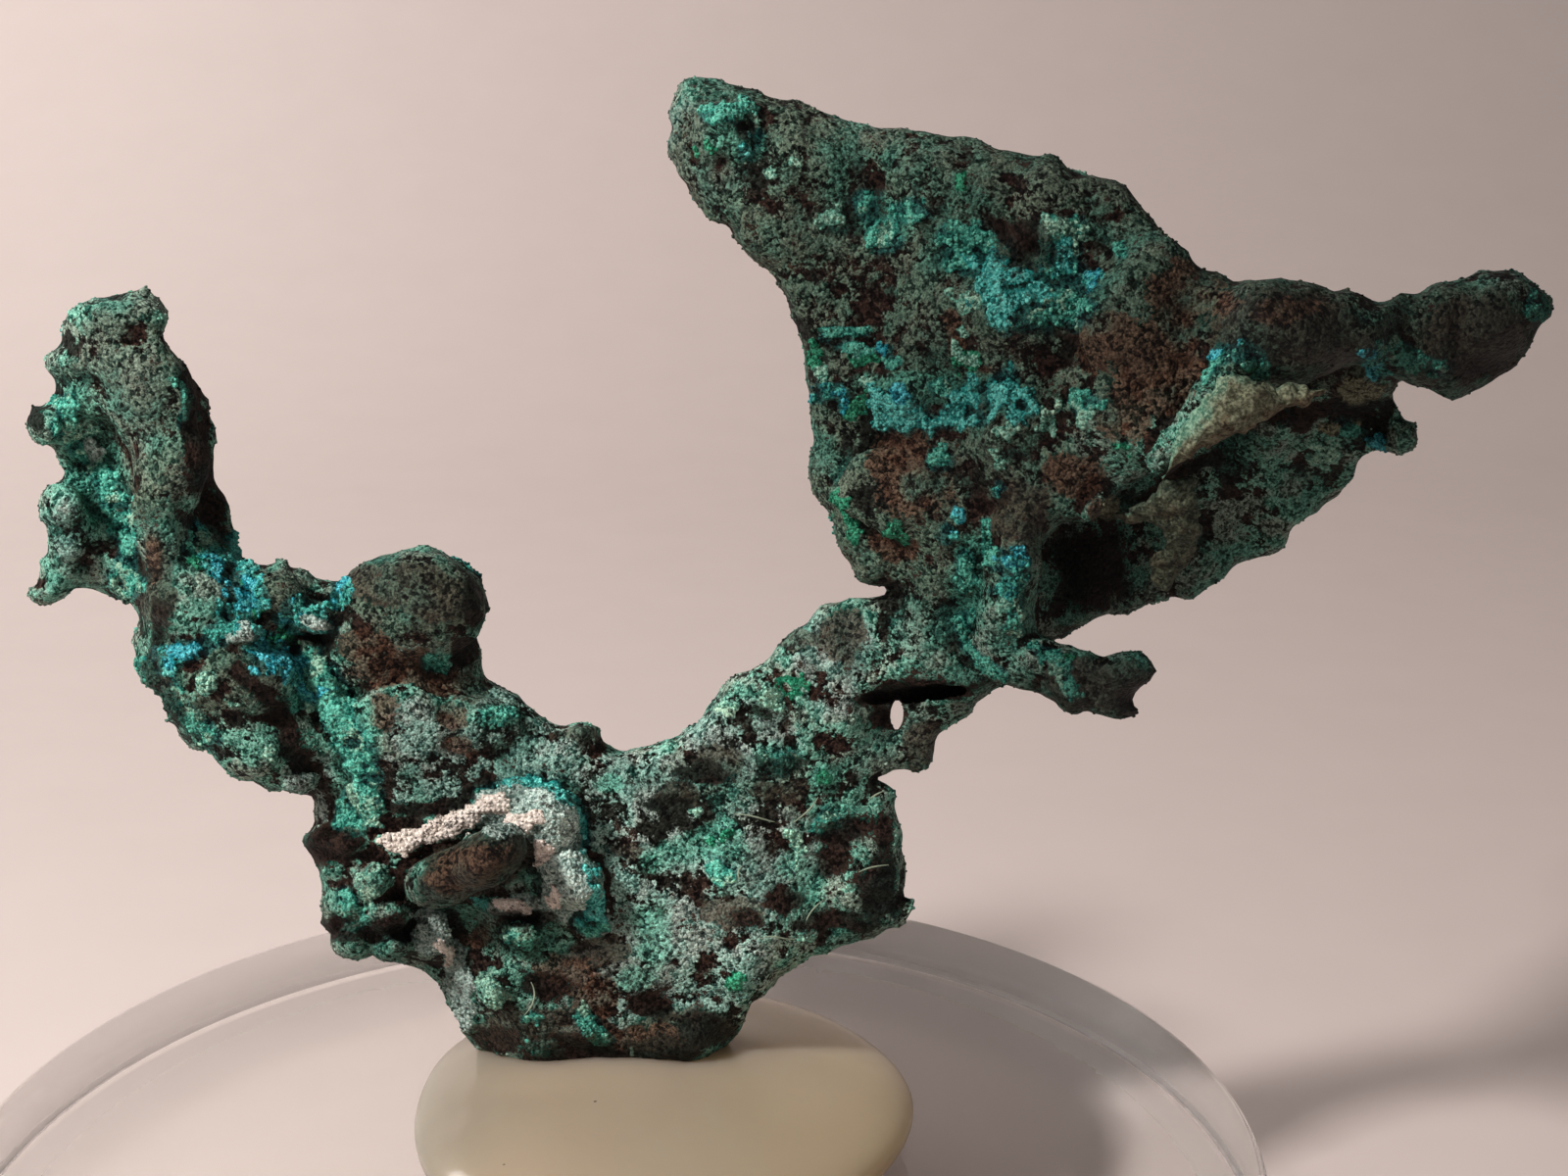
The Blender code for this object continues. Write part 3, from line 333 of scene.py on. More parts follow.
# %% Lumps
LUMPS = [
    # arm
    (-17.3, -0.6, 40.3, 1.8, 1.2, 1.0, 5), (-18.9, -0.3, 38.8, 0.9, 1.0, 0.6, 0),
    (-17.2, -0.5, 39.0, 1.7, 1.2, 1.2, 0), (-16.3, -0.7, 37.4, 1.7, 1.3, 2.6, 8),
    (-15.8, -0.8, 35.0, 1.5, 1.4, 2.2, 0), (-16.2, -0.8, 32.6, 1.1, 1.3, 2.4, 5),
    (-20.2, -0.5, 36.5, 0.7, 0.9, 0.8, 0), (-19.8, -0.3, 33.4, 0.8, 1.0, 1.0, 0),
    (-19.7, -0.3, 32.0, 0.9, 0.9, 0.9, 0), (-18.4, 0.0, 37.4, 0.8, 0.9, 0.8, 0),
    # body
    (-15.6, -1.4, 29.6, 1.5, 1.1, 1.6, 0), (-14.0, -1.6, 26.6, 2.6, 1.3, 1.6, 8),
    (-12.0, -1.6, 30.2, 1.1, 1.1, 1.0, 0), (-10.8, -1.3, 29.2, 0.9, 0.9, 0.7, 20),
    (-13.4, -1.6, 24.2, 1.9, 1.2, 1.2, -30), (-13.3, -2.3, 28.6, 0.6, 0.7, 0.4, 0),
    (-6.9, -1.2, 29.7, 2.6, 1.6, 2.0, -8), (-9.0, -0.9, 28.0, 1.6, 1.2, 1.6, 0),
    (-8.0, -1.2, 24.9, 2.0, 1.2, 1.8, 0), (-5.2, -1.1, 25.1, 1.9, 1.0, 1.2, 0),
    (-11.9, -1.4, 22.9, 1.0, 0.9, 0.6, 0), (-0.9, -0.6, 24.8, 0.6, 1.0, 0.4, 0),
    # foot: a boss that points forward, and a cluster of knots
    (-6.3, -2.5, 18.8, 1.6, 1.7, 1.1, 27), (-4.7, -3.4, 19.6, 1.7, 1.9, 1.05, 27),
    (-11.0, -1.0, 20.5, 0.6, 0.9, 0.6, 0), (-9.9, -1.7, 20.3, 0.9, 0.9, 0.6, 0),
    (-10.5, -1.1, 19.3, 0.6, 0.9, 0.6, 0), (-9.1, -1.6, 18.7, 0.9, 0.9, 0.8, 30),
    (-8.5, -1.6, 17.3, 0.9, 1.0, 0.8, 0), (-8.3, -1.0, 16.1, 0.8, 1.0, 0.6, 0),
    (-10.0, -0.8, 16.4, 0.8, 1.0, 0.7, 0), (-10.3, -0.9, 17.8, 0.7, 0.9, 0.8, 0),
    (-7.0, -0.3, 16.5, 0.9, 0.9, 1.1, -20), (-2.3, -1.9, 21.2, 1.2, 1.0, 1.3, 0),
    (-1.4, -2.0, 18.9, 1.1, 0.9, 1.3, 20), (-3.4, -1.9, 16.5, 0.6, 0.8, 0.55, 0),
    (-4.5, -1.7, 14.1, 0.6, 0.7, 0.7, 0), (-1.3, -1.2, 12.4, 0.8, 0.9, 0.7, 0),
    (2.6, -1.1, 12.0, 1.4, 0.9, 0.9, 0), (9.6, 0.0, 18.8, 1.5, 0.8, 1.8, 0),
    # leaf
    (4.6, 0.3, 47.0, 1.3, 1.4, 1.2, -20), (8.0, 0.0, 45.6, 2.4, 1.2, 1.3, -25),
    (14.6, -1.0, 44.9, 2.2, 1.2, 1.1, -10), (10.6, -1.6, 34.2, 2.0, 0.9, 1.7, 0),
    (19.6, -4.6, 39.6, 2.6, 1.1, 2.0, -30), (24.6, -5.7, 39.8, 2.3, 1.7, 1.5, -6),
    (32.0, -3.0, 40.2, 1.7, 1.7, 1.5, 15), (29.4, -0.9, 36.2, 0.5, 0.9, 0.6, 0),
    (27.5, -5.6, 37.75, 0.8, 0.8, 0.5, -10), (18.0, -4.2, 33.5, 0.5, 0.8, 0.8, -20),
    # the far side of the arm and body
    (-16.6, 2.5, 38.6, 1.3, 1.2, 1.6, 20), (-17.6, 2.5, 34.4, 1.2, 1.0, 1.8, 0),
    (-15.4, 2.4, 29.4, 1.9, 1.3, 1.5, -20), (-10.8, 2.4, 26.4, 2.3, 1.1, 1.4, 35),
    (-6.8, 2.3, 29.4, 1.7, 1.3, 1.3, 0), (-5.2, 2.2, 25.8, 1.5, 0.9, 1.0, 0),
    (-8.4, 2.0, 20.6, 1.8, 1.2, 1.5, -15), (-2.2, 2.2, 18.2, 2.3, 1.1, 1.5, 10),
    (2.6, 1.7, 21.2, 1.9, 0.9, 1.3, -25), (7.0, 1.7, 18.2, 1.9, 1.0, 1.5, 0),
    (0.8, 1.6, 14.2, 1.7, 0.9, 1.3, 0), (5.2, 1.5, 24.6, 1.4, 0.8, 0.9, 30),
    # the far side of the neck and leaves
    (9.8, 1.4, 27.4, 1.3, 0.8, 1.2, 0), (11.4, 0.9, 33.4, 1.8, 1.1, 2.2, 10),
    (10.2, 2.1, 39.4, 1.9, 1.1, 1.6, 0), (6.6, 2.6, 45.0, 1.6, 1.0, 1.2, -30),
    (14.0, 1.7, 43.2, 1.8, 1.1, 1.4, 0), (16.4, 1.6, 31.2, 1.6, 0.9, 1.3, 0),
    (19.8, 3.4, 33.2, 1.8, 1.0, 1.4, 0), (24.0, 3.2, 34.4, 1.8, 0.9, 1.1, -35),
    (20.4, 1.8, 38.2, 1.9, 1.2, 1.5, 20),
]
RIDGES = [
    # the rolled ridge over the fold
    [(15.8, -3.6, 34.8, 0.6), (15.4, -3.4, 32.8, 0.8), (15.2, -3.2, 31.2, 1.0),
     (15.0, -2.8, 29.4, 1.2), (14.9, -2.4, 28.2, 1.2), (15.9, -2.8, 27.4, 1.0)],
    # the fold's lip
    [(20.6, -5.4, 35.2, 0.6), (22.2, -6.4, 37.4, 0.7), (23.2, -6.8, 38.8, 0.7)],
    # thorn on the foot's right side
    [(11.0, 0.6, 17.2, 0.4), (11.5, 0.5, 17.8, 0.3), (11.75, 0.4, 18.5, 0.2)],
    # bright rib down the trough of the body
    [(-10.6, -1.1, 27.4, 0.4), (-10.0, -1.3, 25.4, 0.5), (-9.2, -1.2, 23.6, 0.5), (-9.0, -1.2, 21.8, 0.4)],
]
PITS = [
    (11.7, -0.8, 26.3, 2.1, 1.2, 0.26, 6),  # crack across the neck
    (10.95, 0.4, 25.45, 0.16, 3.0, 0.55, 0),  # hole beside it
    (10.55, -0.9, 25.4, 0.3, 0.8, 0.35, 0),
    (15.2, -3.4, 42.9, 0.9, 0.8, 0.75, 0), (5.4, -1.3, 47.4, 0.4, 1.0, 0.35, 0),
    (-8.1, -2.4, 16.7, 0.45, 1.0, 0.35, 0),
    (-3.1, -2.5, 17.5, 1.2, 1.2, 0.45, 5), (-12.8, 3.0, 24.2, 0.8, 1.2, 0.7, 0),
    (3.6, 2.6, 17.4, 0.9, 1.2, 0.7, 20), (12.6, 2.4, 40.4, 0.9, 1.2, 0.8, 0),
]
print(len(LUMPS), "lumps,", len(RIDGES), "ridges,", len(PITS), "pits")

# %% [markdown]
# ## One field for the whole body
#
# A distance field joins all of these into one skin: a number at every point of a grid, negative
# inside the copper. Joining two shapes takes the lesser of their fields, cutting one away takes
# the greater of the field and the other's negative, and a rounded least makes the joints soft,
# as if the copper had grown there.

# %% Field
STEP = 0.202
LOW = np.array([-22.6, -9.4, 9.2])
HIGH = np.array([35.4, 5.4, 50.0])
GRID_X, GRID_Y, GRID_Z = (np.arange(a, b, STEP) for a, b in zip(LOW, HIGH))


def soft_least(a, b, reach):
    """The lesser of a and b, rounded where they are nearly equal: the lesser less a quarter of
    reach times the square of how close they are."""
    close = np.maximum(reach - np.abs(a - b), 0.0) / reach
    return np.minimum(a, b) - close * close * reach * 0.25


def soft_most(a, b, reach):
    """The same for the greater of the two."""
    return -soft_least(-a, -b, reach)


def window(centre, halves):
    """The part of the grid within the half sizes of the centre, as slices."""
    slices = []
    for axis, middle, half in zip((GRID_X, GRID_Y, GRID_Z), centre, halves):
        first, last = np.searchsorted(axis, (middle - half, middle + half))
        slices.append(slice(first, last))
    return tuple(slices)


def places(slices):
    """The x, y and z of the grid's points in the slices, ready to broadcast."""
    x, y, z = (axis[part] for axis, part in zip((GRID_X, GRID_Y, GRID_Z), slices))
    return x[:, None, None], y[None, :, None], z[None, None, :]


def sheet_field(edge, depths, rim=1.5, rim_half=0.42, ragged=0.12):
    """The rounded greater of two distances: to the edge in the drawn plane, moved by noise up to
    ragged, and to the sheet's middle less half its thickness. The thickness grows from the rim
    inwards as a quarter circle."""
    x, z = np.meshgrid(GRID_X, GRID_Z, indexing="ij")
    flat = np.stack([x.ravel(), np.zeros(x.size), z.ravel()], axis=1)
    torn = ragged * value_noise(flat, 0.8, 11) + 0.5 * ragged * value_noise(flat, 0.4, 12)
    away = edge_distance(x, z, edge) + torn.reshape(x.shape)
    depth, thickness = blended(x, z, depths)
    inward = np.clip(-away / rim, 0.0, 1.0)
    lip = np.minimum(rim_half, thickness / 2)
    half = lip + (thickness / 2 - lip) * np.sqrt(1.0 - (1.0 - inward) ** 2)
    across = np.abs(GRID_Y[None, :, None] - depth[:, None, :]) - half[:, None, :]
    return soft_most(away[:, None, :], across, 0.45).astype(np.float32)


MARGIN = 1.2  # how far round a lump or a tube the field is worked out
BLEND = 0.35  # reach of the rounded joints


def ball_field(centre, halves, tilt):
    """Slices of the grid and there the distance to a stretched ball: k(k - 1) / m, where k is the
    length of the point divided by the half sizes, and m that of it divided by their squares."""
    slices = window(centre, np.full(3, max(halves) + MARGIN))
    x, y, z = (p - c for p, c in zip(places(slices), centre))
    turn = math.radians(tilt)
    along = x * math.cos(turn) + z * math.sin(turn)
    up = z * math.cos(turn) - x * math.sin(turn)
    near = np.sqrt((along / halves[0]) ** 2 + (y / halves[1]) ** 2 + (up / halves[2]) ** 2)
    steep = (along / halves[0] ** 2) ** 2 + (y / halves[1] ** 2) ** 2 + (up / halves[2] ** 2) ** 2
    return slices, near * (near - 1.0) / np.sqrt(steep + 1e-9)


def tube_field(start, end):
    """Slices and there the distance to a straight piece of tube: the distance to its middle line
    less its radius, which changes evenly along it."""
    a, b = np.array(start[:3]), np.array(end[:3])
    slices = window((a + b) / 2, np.abs(b - a) / 2 + max(start[3], end[3]) + MARGIN)
    x, y, z = places(slices)
    run = b - a
    share = ((x - a[0]) * run[0] + (y - a[1]) * run[1] + (z - a[2]) * run[2]) / (run @ run)
    share = np.clip(share, 0.0, 1.0)
    gap = (x - a[0] - share * run[0]) ** 2 + (y - a[1] - share * run[1]) ** 2
    gap = gap + (z - a[2] - share * run[2]) ** 2
    return slices, np.sqrt(gap) - (start[3] + share * (end[3] - start[3]))


SHEET_BLEND = 0.3
TWIG_RIM = 0.8  # the twig's thickness grows over a narrower rim than the sheets'
field = sheet_field(MAIN_EDGE, MAIN_DEPTHS)
field = soft_least(field, sheet_field(BACK_EDGE, BACK_DEPTHS), SHEET_BLEND)
field = soft_least(field, sheet_field(TWIG_EDGE, TWIG_DEPTHS, rim=TWIG_RIM), SHEET_BLEND)
for x, depth, z, wide, deep, tall, tilt in LUMPS:
    slices, away = ball_field((x, depth, z), (wide, deep, tall), tilt)
    field[slices] = soft_least(field[slices], away, BLEND)
for route in RIDGES:
    for start, end in zip(route, route[1:]):
        slices, away = tube_field(start, end)
        field[slices] = soft_least(field[slices], away, BLEND)
print("field of", field.size, "points")

# %% [markdown]
# ## Roughness in the field
#
# The noise is added to the field close to the skin, so that swellings, grains and pits change
# the shape itself and not only its shading. Grains are cell noise turned over: high in the
# middle of each cell, low between cells.

# %% Rough skin
SKIN_REACH = 0.9  # the noise is added this near the skin
CELL_MIDDLE = 0.55  # about the mean distance that cell noise gives
PIT_BLEND = 0.12
i, j, k = np.nonzero(np.abs(field) < SKIN_REACH)
near_skin = np.stack([GRID_X[i], GRID_Y[j], GRID_Z[k]], axis=1)
swellings = 0.20 * value_noise(near_skin, 2.4, 1) + 0.10 * value_noise(near_skin, 1.1, 2)
packed = 0.10 * (CELL_MIDDLE - cell_noise(near_skin, 0.85, 3))
packed *= 0.6 + 0.6 * value_noise(near_skin, 4.0, 6)
field[i, j, k] -= (swellings + packed + 0.07 * value_noise(near_skin, 0.5, 4)).astype(np.float32)
for x, depth, z, wide, deep, tall, tilt in PITS:
    slices, away = ball_field((x, depth, z), (wide, deep, tall), tilt)
    field[slices] = soft_most(field[slices], -away, PIT_BLEND)
print("rough skin over", len(near_skin), "grid points")

# %% [markdown]
# ## From field to skin
#
# The surface net puts one vertex in every grid box that the skin crosses, at the mean of the
# places where it crosses the box's edges, and one face round every grid edge that it crosses.
# The result is a closed mesh of even faces, good for carrying fine relief.

# %% Surface net
def surface_net(field, low, step):
    """Vertices and four-sided faces of the skin where the field is zero."""
    inside = field < 0
    corners = [(a, b, c) for a in (0, 1) for b in (0, 1) for c in (0, 1)]
    size = np.array(field.shape) - 1

    def shifted(values, corner):
        return values[tuple(slice(c, c + n) for c, n in zip(corner, size))]

    count = sum(shifted(inside, corner).astype(np.int8) for corner in corners)
    boxes = np.argwhere((count > 0) & (count < 8))
    values = np.stack([field[tuple((boxes + corner).T)] for corner in corners], axis=1)
    total, crossings = np.zeros((len(boxes), 3)), np.zeros(len(boxes))
    for a, start in enumerate(corners):
        for b, end in enumerate(corners):
            if b <= a or sum(abs(p - q) for p, q in zip(start, end)) != 1:
                continue
            hit = (values[:, a] < 0) != (values[:, b] < 0)
            gap = np.where(hit, values[:, a] - values[:, b], 1.0)
            share = np.where(hit, values[:, a] / gap, 0.0)[:, None]
            total += hit[:, None] * (np.array(start) + share * (np.array(end) - np.array(start)))
            crossings += hit
    points = low + step * (boxes + total / crossings[:, None])
    number = np.full(tuple(size), -1, np.int64)
    number[tuple(boxes.T)] = np.arange(len(boxes))
    faces = []
    for turn in ((0, 1, 2), (1, 2, 0), (2, 0, 1)):
        side, box = inside.transpose(turn), number.transpose(turn)
        a, b, c = np.nonzero(side[:-1, 1:-1, 1:-1] != side[1:, 1:-1, 1:-1])
        near, far = (box[a, b, c], box[a, b + 1, c]), (box[a, b + 1, c + 1], box[a, b, c + 1])
        quad = np.stack([*near, *far], axis=1)
        faces.append(np.where(side[a, b + 1, c + 1][:, None], quad, quad[:, ::-1]))
    return points, np.concatenate(faces)


def largest_piece(points, faces):
    """Keeps the biggest connected piece: every vertex takes the lowest label among its
    neighbours' until nothing changes."""
    label = np.arange(len(points))
    while True:
        before = label.copy()
        least = label[faces].min(axis=1)
        for corner in range(4):
            np.minimum.at(label, faces[:, corner], least)
        label = label[label]
        if (label == before).all():
            break
    keep = label == np.bincount(label).argmax()
    new = np.cumsum(keep) - 1
    return points[keep], new[faces[keep[faces[:, 0]]]]


def normals_of(points, faces):
    """Each vertex's normal: the sum of its faces' normals, which are the cross product of their
    diagonals, made one long."""
    corner = points[faces]
    face = np.cross(corner[:, 2] - corner[:, 0], corner[:, 3] - corner[:, 1])
    total = np.zeros_like(points)
    for at in range(4):
        np.add.at(total, faces[:, at], face)
    return total / (np.linalg.norm(total, axis=1, keepdims=True) + 1e-12)


copper_points, copper_faces = largest_piece(*surface_net(field, LOW, STEP))
copper_normals = normals_of(copper_points, copper_faces)
print("copper:", len(copper_points), "vertices,", 2 * len(copper_faces), "triangles")

# %% [markdown]
# ## Where each mineral sits
#
# The crusts are listed as patches and strokes on the drawn plane: a patch is (x, z, half width,
# half height, tilt), a stroke is (half width, points). Each kind of mineral becomes a mask on the
# mesh, one number for each vertex. The material later breaks the masks' edges up into grains.
# Lumps worn bare are listed as patches too, and painted light and shade as (x, z, brightness,
# 0): the colour is lightened where the brightness is over 1 and darkened where it is under 1.

# %% Patches
PATCHES = {
    "teal": [
        (-10.1, 18.0, 0.5, 0.5), (-9.7, 17.3, 0.45, 0.4), (-3.4, 16.6, 0.6, 0.55),
        (-2.6, 11.7, 0.5, 0.35), (11.2, 44.3, 0.7, 0.45), (13.5, 42.7, 1.2, 0.9),
        (12.6, 43.5, 0.5, 0.4), (16.5, 43.3, 0.9, 0.8), (16.3, 42.4, 0.9, 0.6), (16.5, 41.0, 0.8, 0.6),
        (17.3, 40.6, 0.5, 0.45), (15.6, 40.4, 0.6, 0.5), (8.9, 39.9, 0.9, 0.25), (9.3, 39.3, 0.7, 0.2),
        (10.7, 38.9, 0.35, 0.25), (9.6, 44.6, 0.5, 0.6), (10.2, 43.4, 0.6, 0.5), (6.6, 23.8, 0.6, 0.4),
        (12.3, 38.0, 0.4, 0.3), (-11.8, 26.0, 0.5, 0.4), (-17.6, 30.6, 0.7, 0.6),
        (-14.6, 32.2, 0.7, 0.6), (23.4, 38.9, 0.6, 0.4), (15.3, 29.5, 0.4, 0.9),
        (-0.8, 16.9, 0.5, 0.4), (33.6, 41.0, 0.3, 0.6), (29.4, 38.6, 0.4, 0.25),
        (27.3, 36.4, 0.7, 0.3), (-6.2, 27.6, 0.5, 0.3), (-3.4, 22.4, 0.6, 0.3), (-4.0, 25.6, 0.5, 0.3),
        (12.4, 35.2, 0.4, 0.5), (13.4, 31.0, 0.4, 0.8), (8.3, 21.2, 0.5, 0.6), (-3.2, 13.0, 0.4, 0.3),
        (4.2, 19.2, 0.5, 0.4), (17.6, 37.2, 0.4, 0.5), (18.6, 42.8, 0.3, 0.2),
    ],
    "green": [
        (8.3, 23.0, 0.3, 0.3), (4.3, 20.4, 0.3, 0.3), (8.9, 33.4, 0.5, 0.5), (9.3, 32.5, 0.5, 0.4),
        (10.9, 32.5, 0.4, 0.3), (13.4, 38.9, 0.5, 0.4), (7.8, 39.1, 0.35, 0.9), (9.4, 37.2, 0.6, 0.4),
        (-12.0, 28.4, 0.5, 0.5), (-14.5, 31.6, 0.8, 0.5), (-13.2, 30.0, 0.6, 0.7),
        (23.5, 38.6, 0.4, 0.3), (6.9, 26.4, 0.6, 0.5), (13.0, 45.3, 0.4, 0.2), (-10.9, 27.0, 0.5, 0.4),
        (19.0, 35.6, 0.3, 0.3), (16.9, 27.4, 0.5, 0.4), (5.2, 47.6, 0.3, 0.2), (4.0, 46.4, 0.25, 0.25),
        (9.7, 39.0, 0.5, 0.3), (4.6, 14.4, 0.3, 0.4),
    ],
    "mint": [
        (-9.3, 18.8, 0.6, 0.65), (-4.5, 14.5, 0.55, 0.45), (-4.3, 13.8, 0.45, 0.35),
        (3.4, 21.6, 0.28, 0.22), (9.6, 37.9, 0.4, 0.28), (-10.9, 25.9, 0.4, 0.25),
        (7.2, 20.1, 0.4, 0.7), (6.1, 26.0, 0.35, 0.3), (4.5, 25.8, 0.4, 0.3),
        (6.3, 45.6, 0.4, 0.2, -20), (7.2, 45.9, 0.3, 0.15), (8.7, 44.4, 0.3, 0.2),
        (8.5, 43.8, 0.4, 0.25), (13.1, 39.8, 0.3, 0.55), (13.4, 38.9, 0.3, 0.3),
        (15.9, 43.7, 0.4, 0.4), (14.7, 40.3, 0.35, 0.6), (13.5, 41.0, 0.8, 0.25, -20),
        (8.1, 38.4, 0.25, 0.4), (14.8, 36.1, 0.4, 0.35), (14.5, 35.1, 0.35, 0.3),
        (16.4, 36.8, 0.5, 0.5), (17.6, 36.9, 0.35, 0.3), (-15.0, 26.5, 0.6, 0.5),
        (-14.0, 25.8, 0.3, 0.25), (-12.6, 24.0, 0.4, 0.3), (-8.6, 21.2, 0.5, 0.2),
        (14.7, 29.7, 0.35, 0.3), (-18.6, 36.3, 0.4, 0.4), (0.7, 11.6, 0.25, 0.25),
        (-12.2, 43.0, 0.4, 0.3), (7.6, 16.7, 0.3, 0.2), (9.3, 18.4, 0.3, 0.3), (20.6, 29.9, 0.3, 0.3),
        (26.4, 35.6, 0.7, 0.6),
    ],
    "blue": [
        (-12.4, 27.9, 0.7, 0.7), (-11.7, 27.3, 0.6, 0.5), (-11.4, 26.7, 0.4, 0.3),
        (-10.8, 26.4, 0.5, 0.4), (-14.8, 32.8, 0.35, 0.3), (-9.6, 30.4, 0.35, 0.5),
        (-11.2, 29.4, 0.7, 0.4), (8.4, 37.9, 0.45, 0.3), (8.7, 37.5, 0.3, 0.25),
        (10.9, 37.8, 0.3, 0.2), (22.4, 39.0, 0.3, 0.2), (22.9, 39.4, 0.35, 0.2),
        (27.8, 39.0, 0.4, 0.3), (28.2, 38.5, 0.4, 0.25), (28.6, 36.0, 0.3, 0.25),
        (15.2, 31.3, 0.55, 0.5), (14.9, 30.4, 0.4, 0.4), (-1.5, 18.6, 0.6, 0.5),
        (12.7, 32.4, 0.25, 0.4), (17.6, 41.7, 0.5, 0.4), (14.6, 34.0, 0.2, 0.3),
        (13.1, 33.2, 0.25, 0.3), (10.5, 39.4, 0.3, 0.2), (-5.0, 17.7, 0.5, 0.3),
    ],
    "turquoise": [
        (13.0, 37.0, 0.6, 0.6), (13.6, 37.6, 0.5, 0.6), (13.9, 36.7, 0.4, 0.3), (12.2, 36.6, 0.3, 0.3),
        (10.9, 37.0, 0.9, 0.6), (10.2, 37.6, 0.4, 0.3), (15.4, 37.1, 0.5, 0.5), (14.6, 38.0, 0.5, 0.7),
        (15.1, 41.4, 1.3, 0.7), (14.7, 40.7, 0.4, 0.8), (13.7, 42.4, 0.7, 0.6), (16.6, 42.6, 0.4, 0.8),
        (-10.9, 29.1, 0.9, 0.6), (-14.3, 31.3, 0.5, 0.5), (-16.2, 28.0, 0.8, 0.3, 15),
        (-1.2, 17.7, 0.5, 0.5), (-3.0, 21.8, 0.7, 0.6), (-2.0, 21.4, 0.6, 0.9), (5.2, 46.4, 0.3, 0.25),
        (5.6, 46.9, 0.25, 0.3),
    ],
    "white": [
        (-3.0, 21.3, 0.6, 0.35), (-2.5, 20.0, 0.4, 0.6), (-2.0, 18.3, 0.3, 0.4),
        (-3.8, 17.9, 0.8, 0.3),
    ],
    "brown": [
        (-5.2, 19.4, 2.3, 1.0, 27), (-7.0, 30.3, 2.4, 0.9, -8), (2.6, 22.3, 0.7, 0.5),
        (4.2, 23.8, 0.8, 0.5), (-2.6, 12.6, 2.4, 0.8), (8.9, 28.6, 0.7, 1.2), (15.4, 33.2, 0.8, 1.0),
        (-9.8, 22.1, 0.5, 0.6), (4.8, 17.6, 1.0, 0.6), (6.4, 22.4, 1.0, 0.5), (3.0, 12.6, 1.8, 0.8),
        (25.0, 39.9, 2.8, 1.2, -8), (31.6, 39.6, 1.8, 1.4), (18.6, 26.6, 2.0, 0.9),
        (-16.4, 30.4, 0.7, 1.4), (0.6, 20.0, 0.5, 0.3), (-0.9, 24.7, 0.7, 0.3), (7.2, 28.4, 0.8, 0.4),
        (11.8, 24.2, 0.7, 0.8), (-0.4, 15.8, 1.0, 0.5),
    ],
    "red": [
        (10.8, 35.3, 0.9, 0.9), (11.9, 34.3, 0.9, 0.8), (10.8, 32.0, 0.6, 0.4),
        (19.2, 39.4, 1.7, 0.9, -25), (20.6, 39.9, 0.9, 1.2), (21.8, 41.0, 1.0, 0.5),
        (18.9, 37.0, 0.8, 1.1), (24.5, 40.6, 1.1, 0.4), (13.6, 38.3, 0.5, 0.6), (17.2, 34.6, 1.0, 0.8),
        (-16.4, 31.6, 0.35, 0.8), (-8.9, 28.2, 0.9, 0.6), (-6.3, 26.7, 0.6, 0.3),
        (-5.6, 25.4, 0.6, 0.4), (-5.3, 24.2, 0.6, 0.4), (-5.0, 16.4, 0.8, 0.4), (-1.6, 15.2, 1.2, 0.5),
        (24.4, 37.4, 0.8, 0.3), (27.0, 37.7, 0.6, 0.3), (18.1, 33.3, 0.4, 0.5), (17.9, 39.4, 0.6, 0.8),
        (21.0, 41.6, 1.2, 0.8), (20.2, 38.4, 1.4, 1.2), (11.3, 34.8, 1.2, 1.4), (-0.6, 13.6, 0.8, 0.4),
        (-5.4, 19.3, 1.6, 0.7, 27), (-7.9, 27.4, 1.5, 0.7), (-5.6, 26.6, 1.2, 0.5),
        (-8.4, 25.6, 0.6, 0.7), (1.0, 12.2, 1.6, 0.5), (-0.8, 14.2, 0.9, 0.6), (14.0, 37.0, 0.2, 0.2),
        (12.9, 39.9, 0.4, 0.8),
    ],
    # Dark patches, and the dark strokes in STROKES: black oxide in most places, but those in the pocket
    # under the fold, in a few creases and down the arm's right side, which turns from the light, are
    # painted shade.
    "dark": [
        (15.2, 42.9, 0.9, 0.75), (-20.4, 36.8, 0.3, 0.4), (-19.1, 33.0, 0.25, 0.2),
        (-8.1, 16.6, 0.5, 0.35), (-3.1, 17.4, 1.2, 0.35), (-10.6, 20.2, 1.1, 0.7),
        (-10.3, 17.0, 0.7, 0.5), (-8.6, 16.9, 0.7, 0.5), (11.8, 26.3, 2.2, 0.35, 6),
        (10.6, 25.3, 0.4, 0.4), (-4.7, 29.9, 0.3, 0.8), (18.0, 31.1, 1.2, 1.2), (10.3, 18.6, 0.7, 1.3),
        (9.0, 20.9, 0.9, 0.45), (10.6, 20.9, 0.4, 0.7), (9.0, 17.0, 1.4, 0.4), (8.5, 19.4, 0.5, 0.4),
        (6.6, 18.0, 0.7, 0.35), (5.2, 17.2, 0.5, 0.3), (2.2, 22.0, 0.8, 0.35), (3.6, 23.2, 0.9, 0.4),
        (6.6, 23.6, 0.8, 0.35), (-1.8, 11.6, 1.8, 0.6), (1.8, 11.4, 1.6, 0.7), (-4.3, 12.2, 0.8, 0.5),
        (3.7, 12.6, 0.9, 0.6), (-2.4, 14.4, 0.9, 0.6), (1.4, 13.6, 0.7, 0.4), (32.0, 38.5, 1.2, 0.5),
        (-14.6, 36.6, 0.35, 2.8), (-14.0, 33.4, 0.4, 1.4), (20.0, 26.0, 0.8, 0.7),
        (5.3, 47.2, 0.3, 0.3), (-11.0, 28.2, 0.9, 0.25), (26.0, 36.9, 2.0, 0.3, 10),
        (-5.2, 28.0, 0.5, 0.5), (8.6, 19.9, 0.5, 0.6),
    ],
    "olive": [
        (-7.0, 30.0, 2.6, 1.7), (14.0, 42.0, 9.0, 5.5), (12.0, 35.0, 5.0, 5.0), (25.0, 40.0, 5.0, 2.0),
        (6.0, 45.0, 3.5, 4.0), (-12.2, 30.0, 1.3, 1.0), (-14.6, 27.0, 2.0, 1.6),
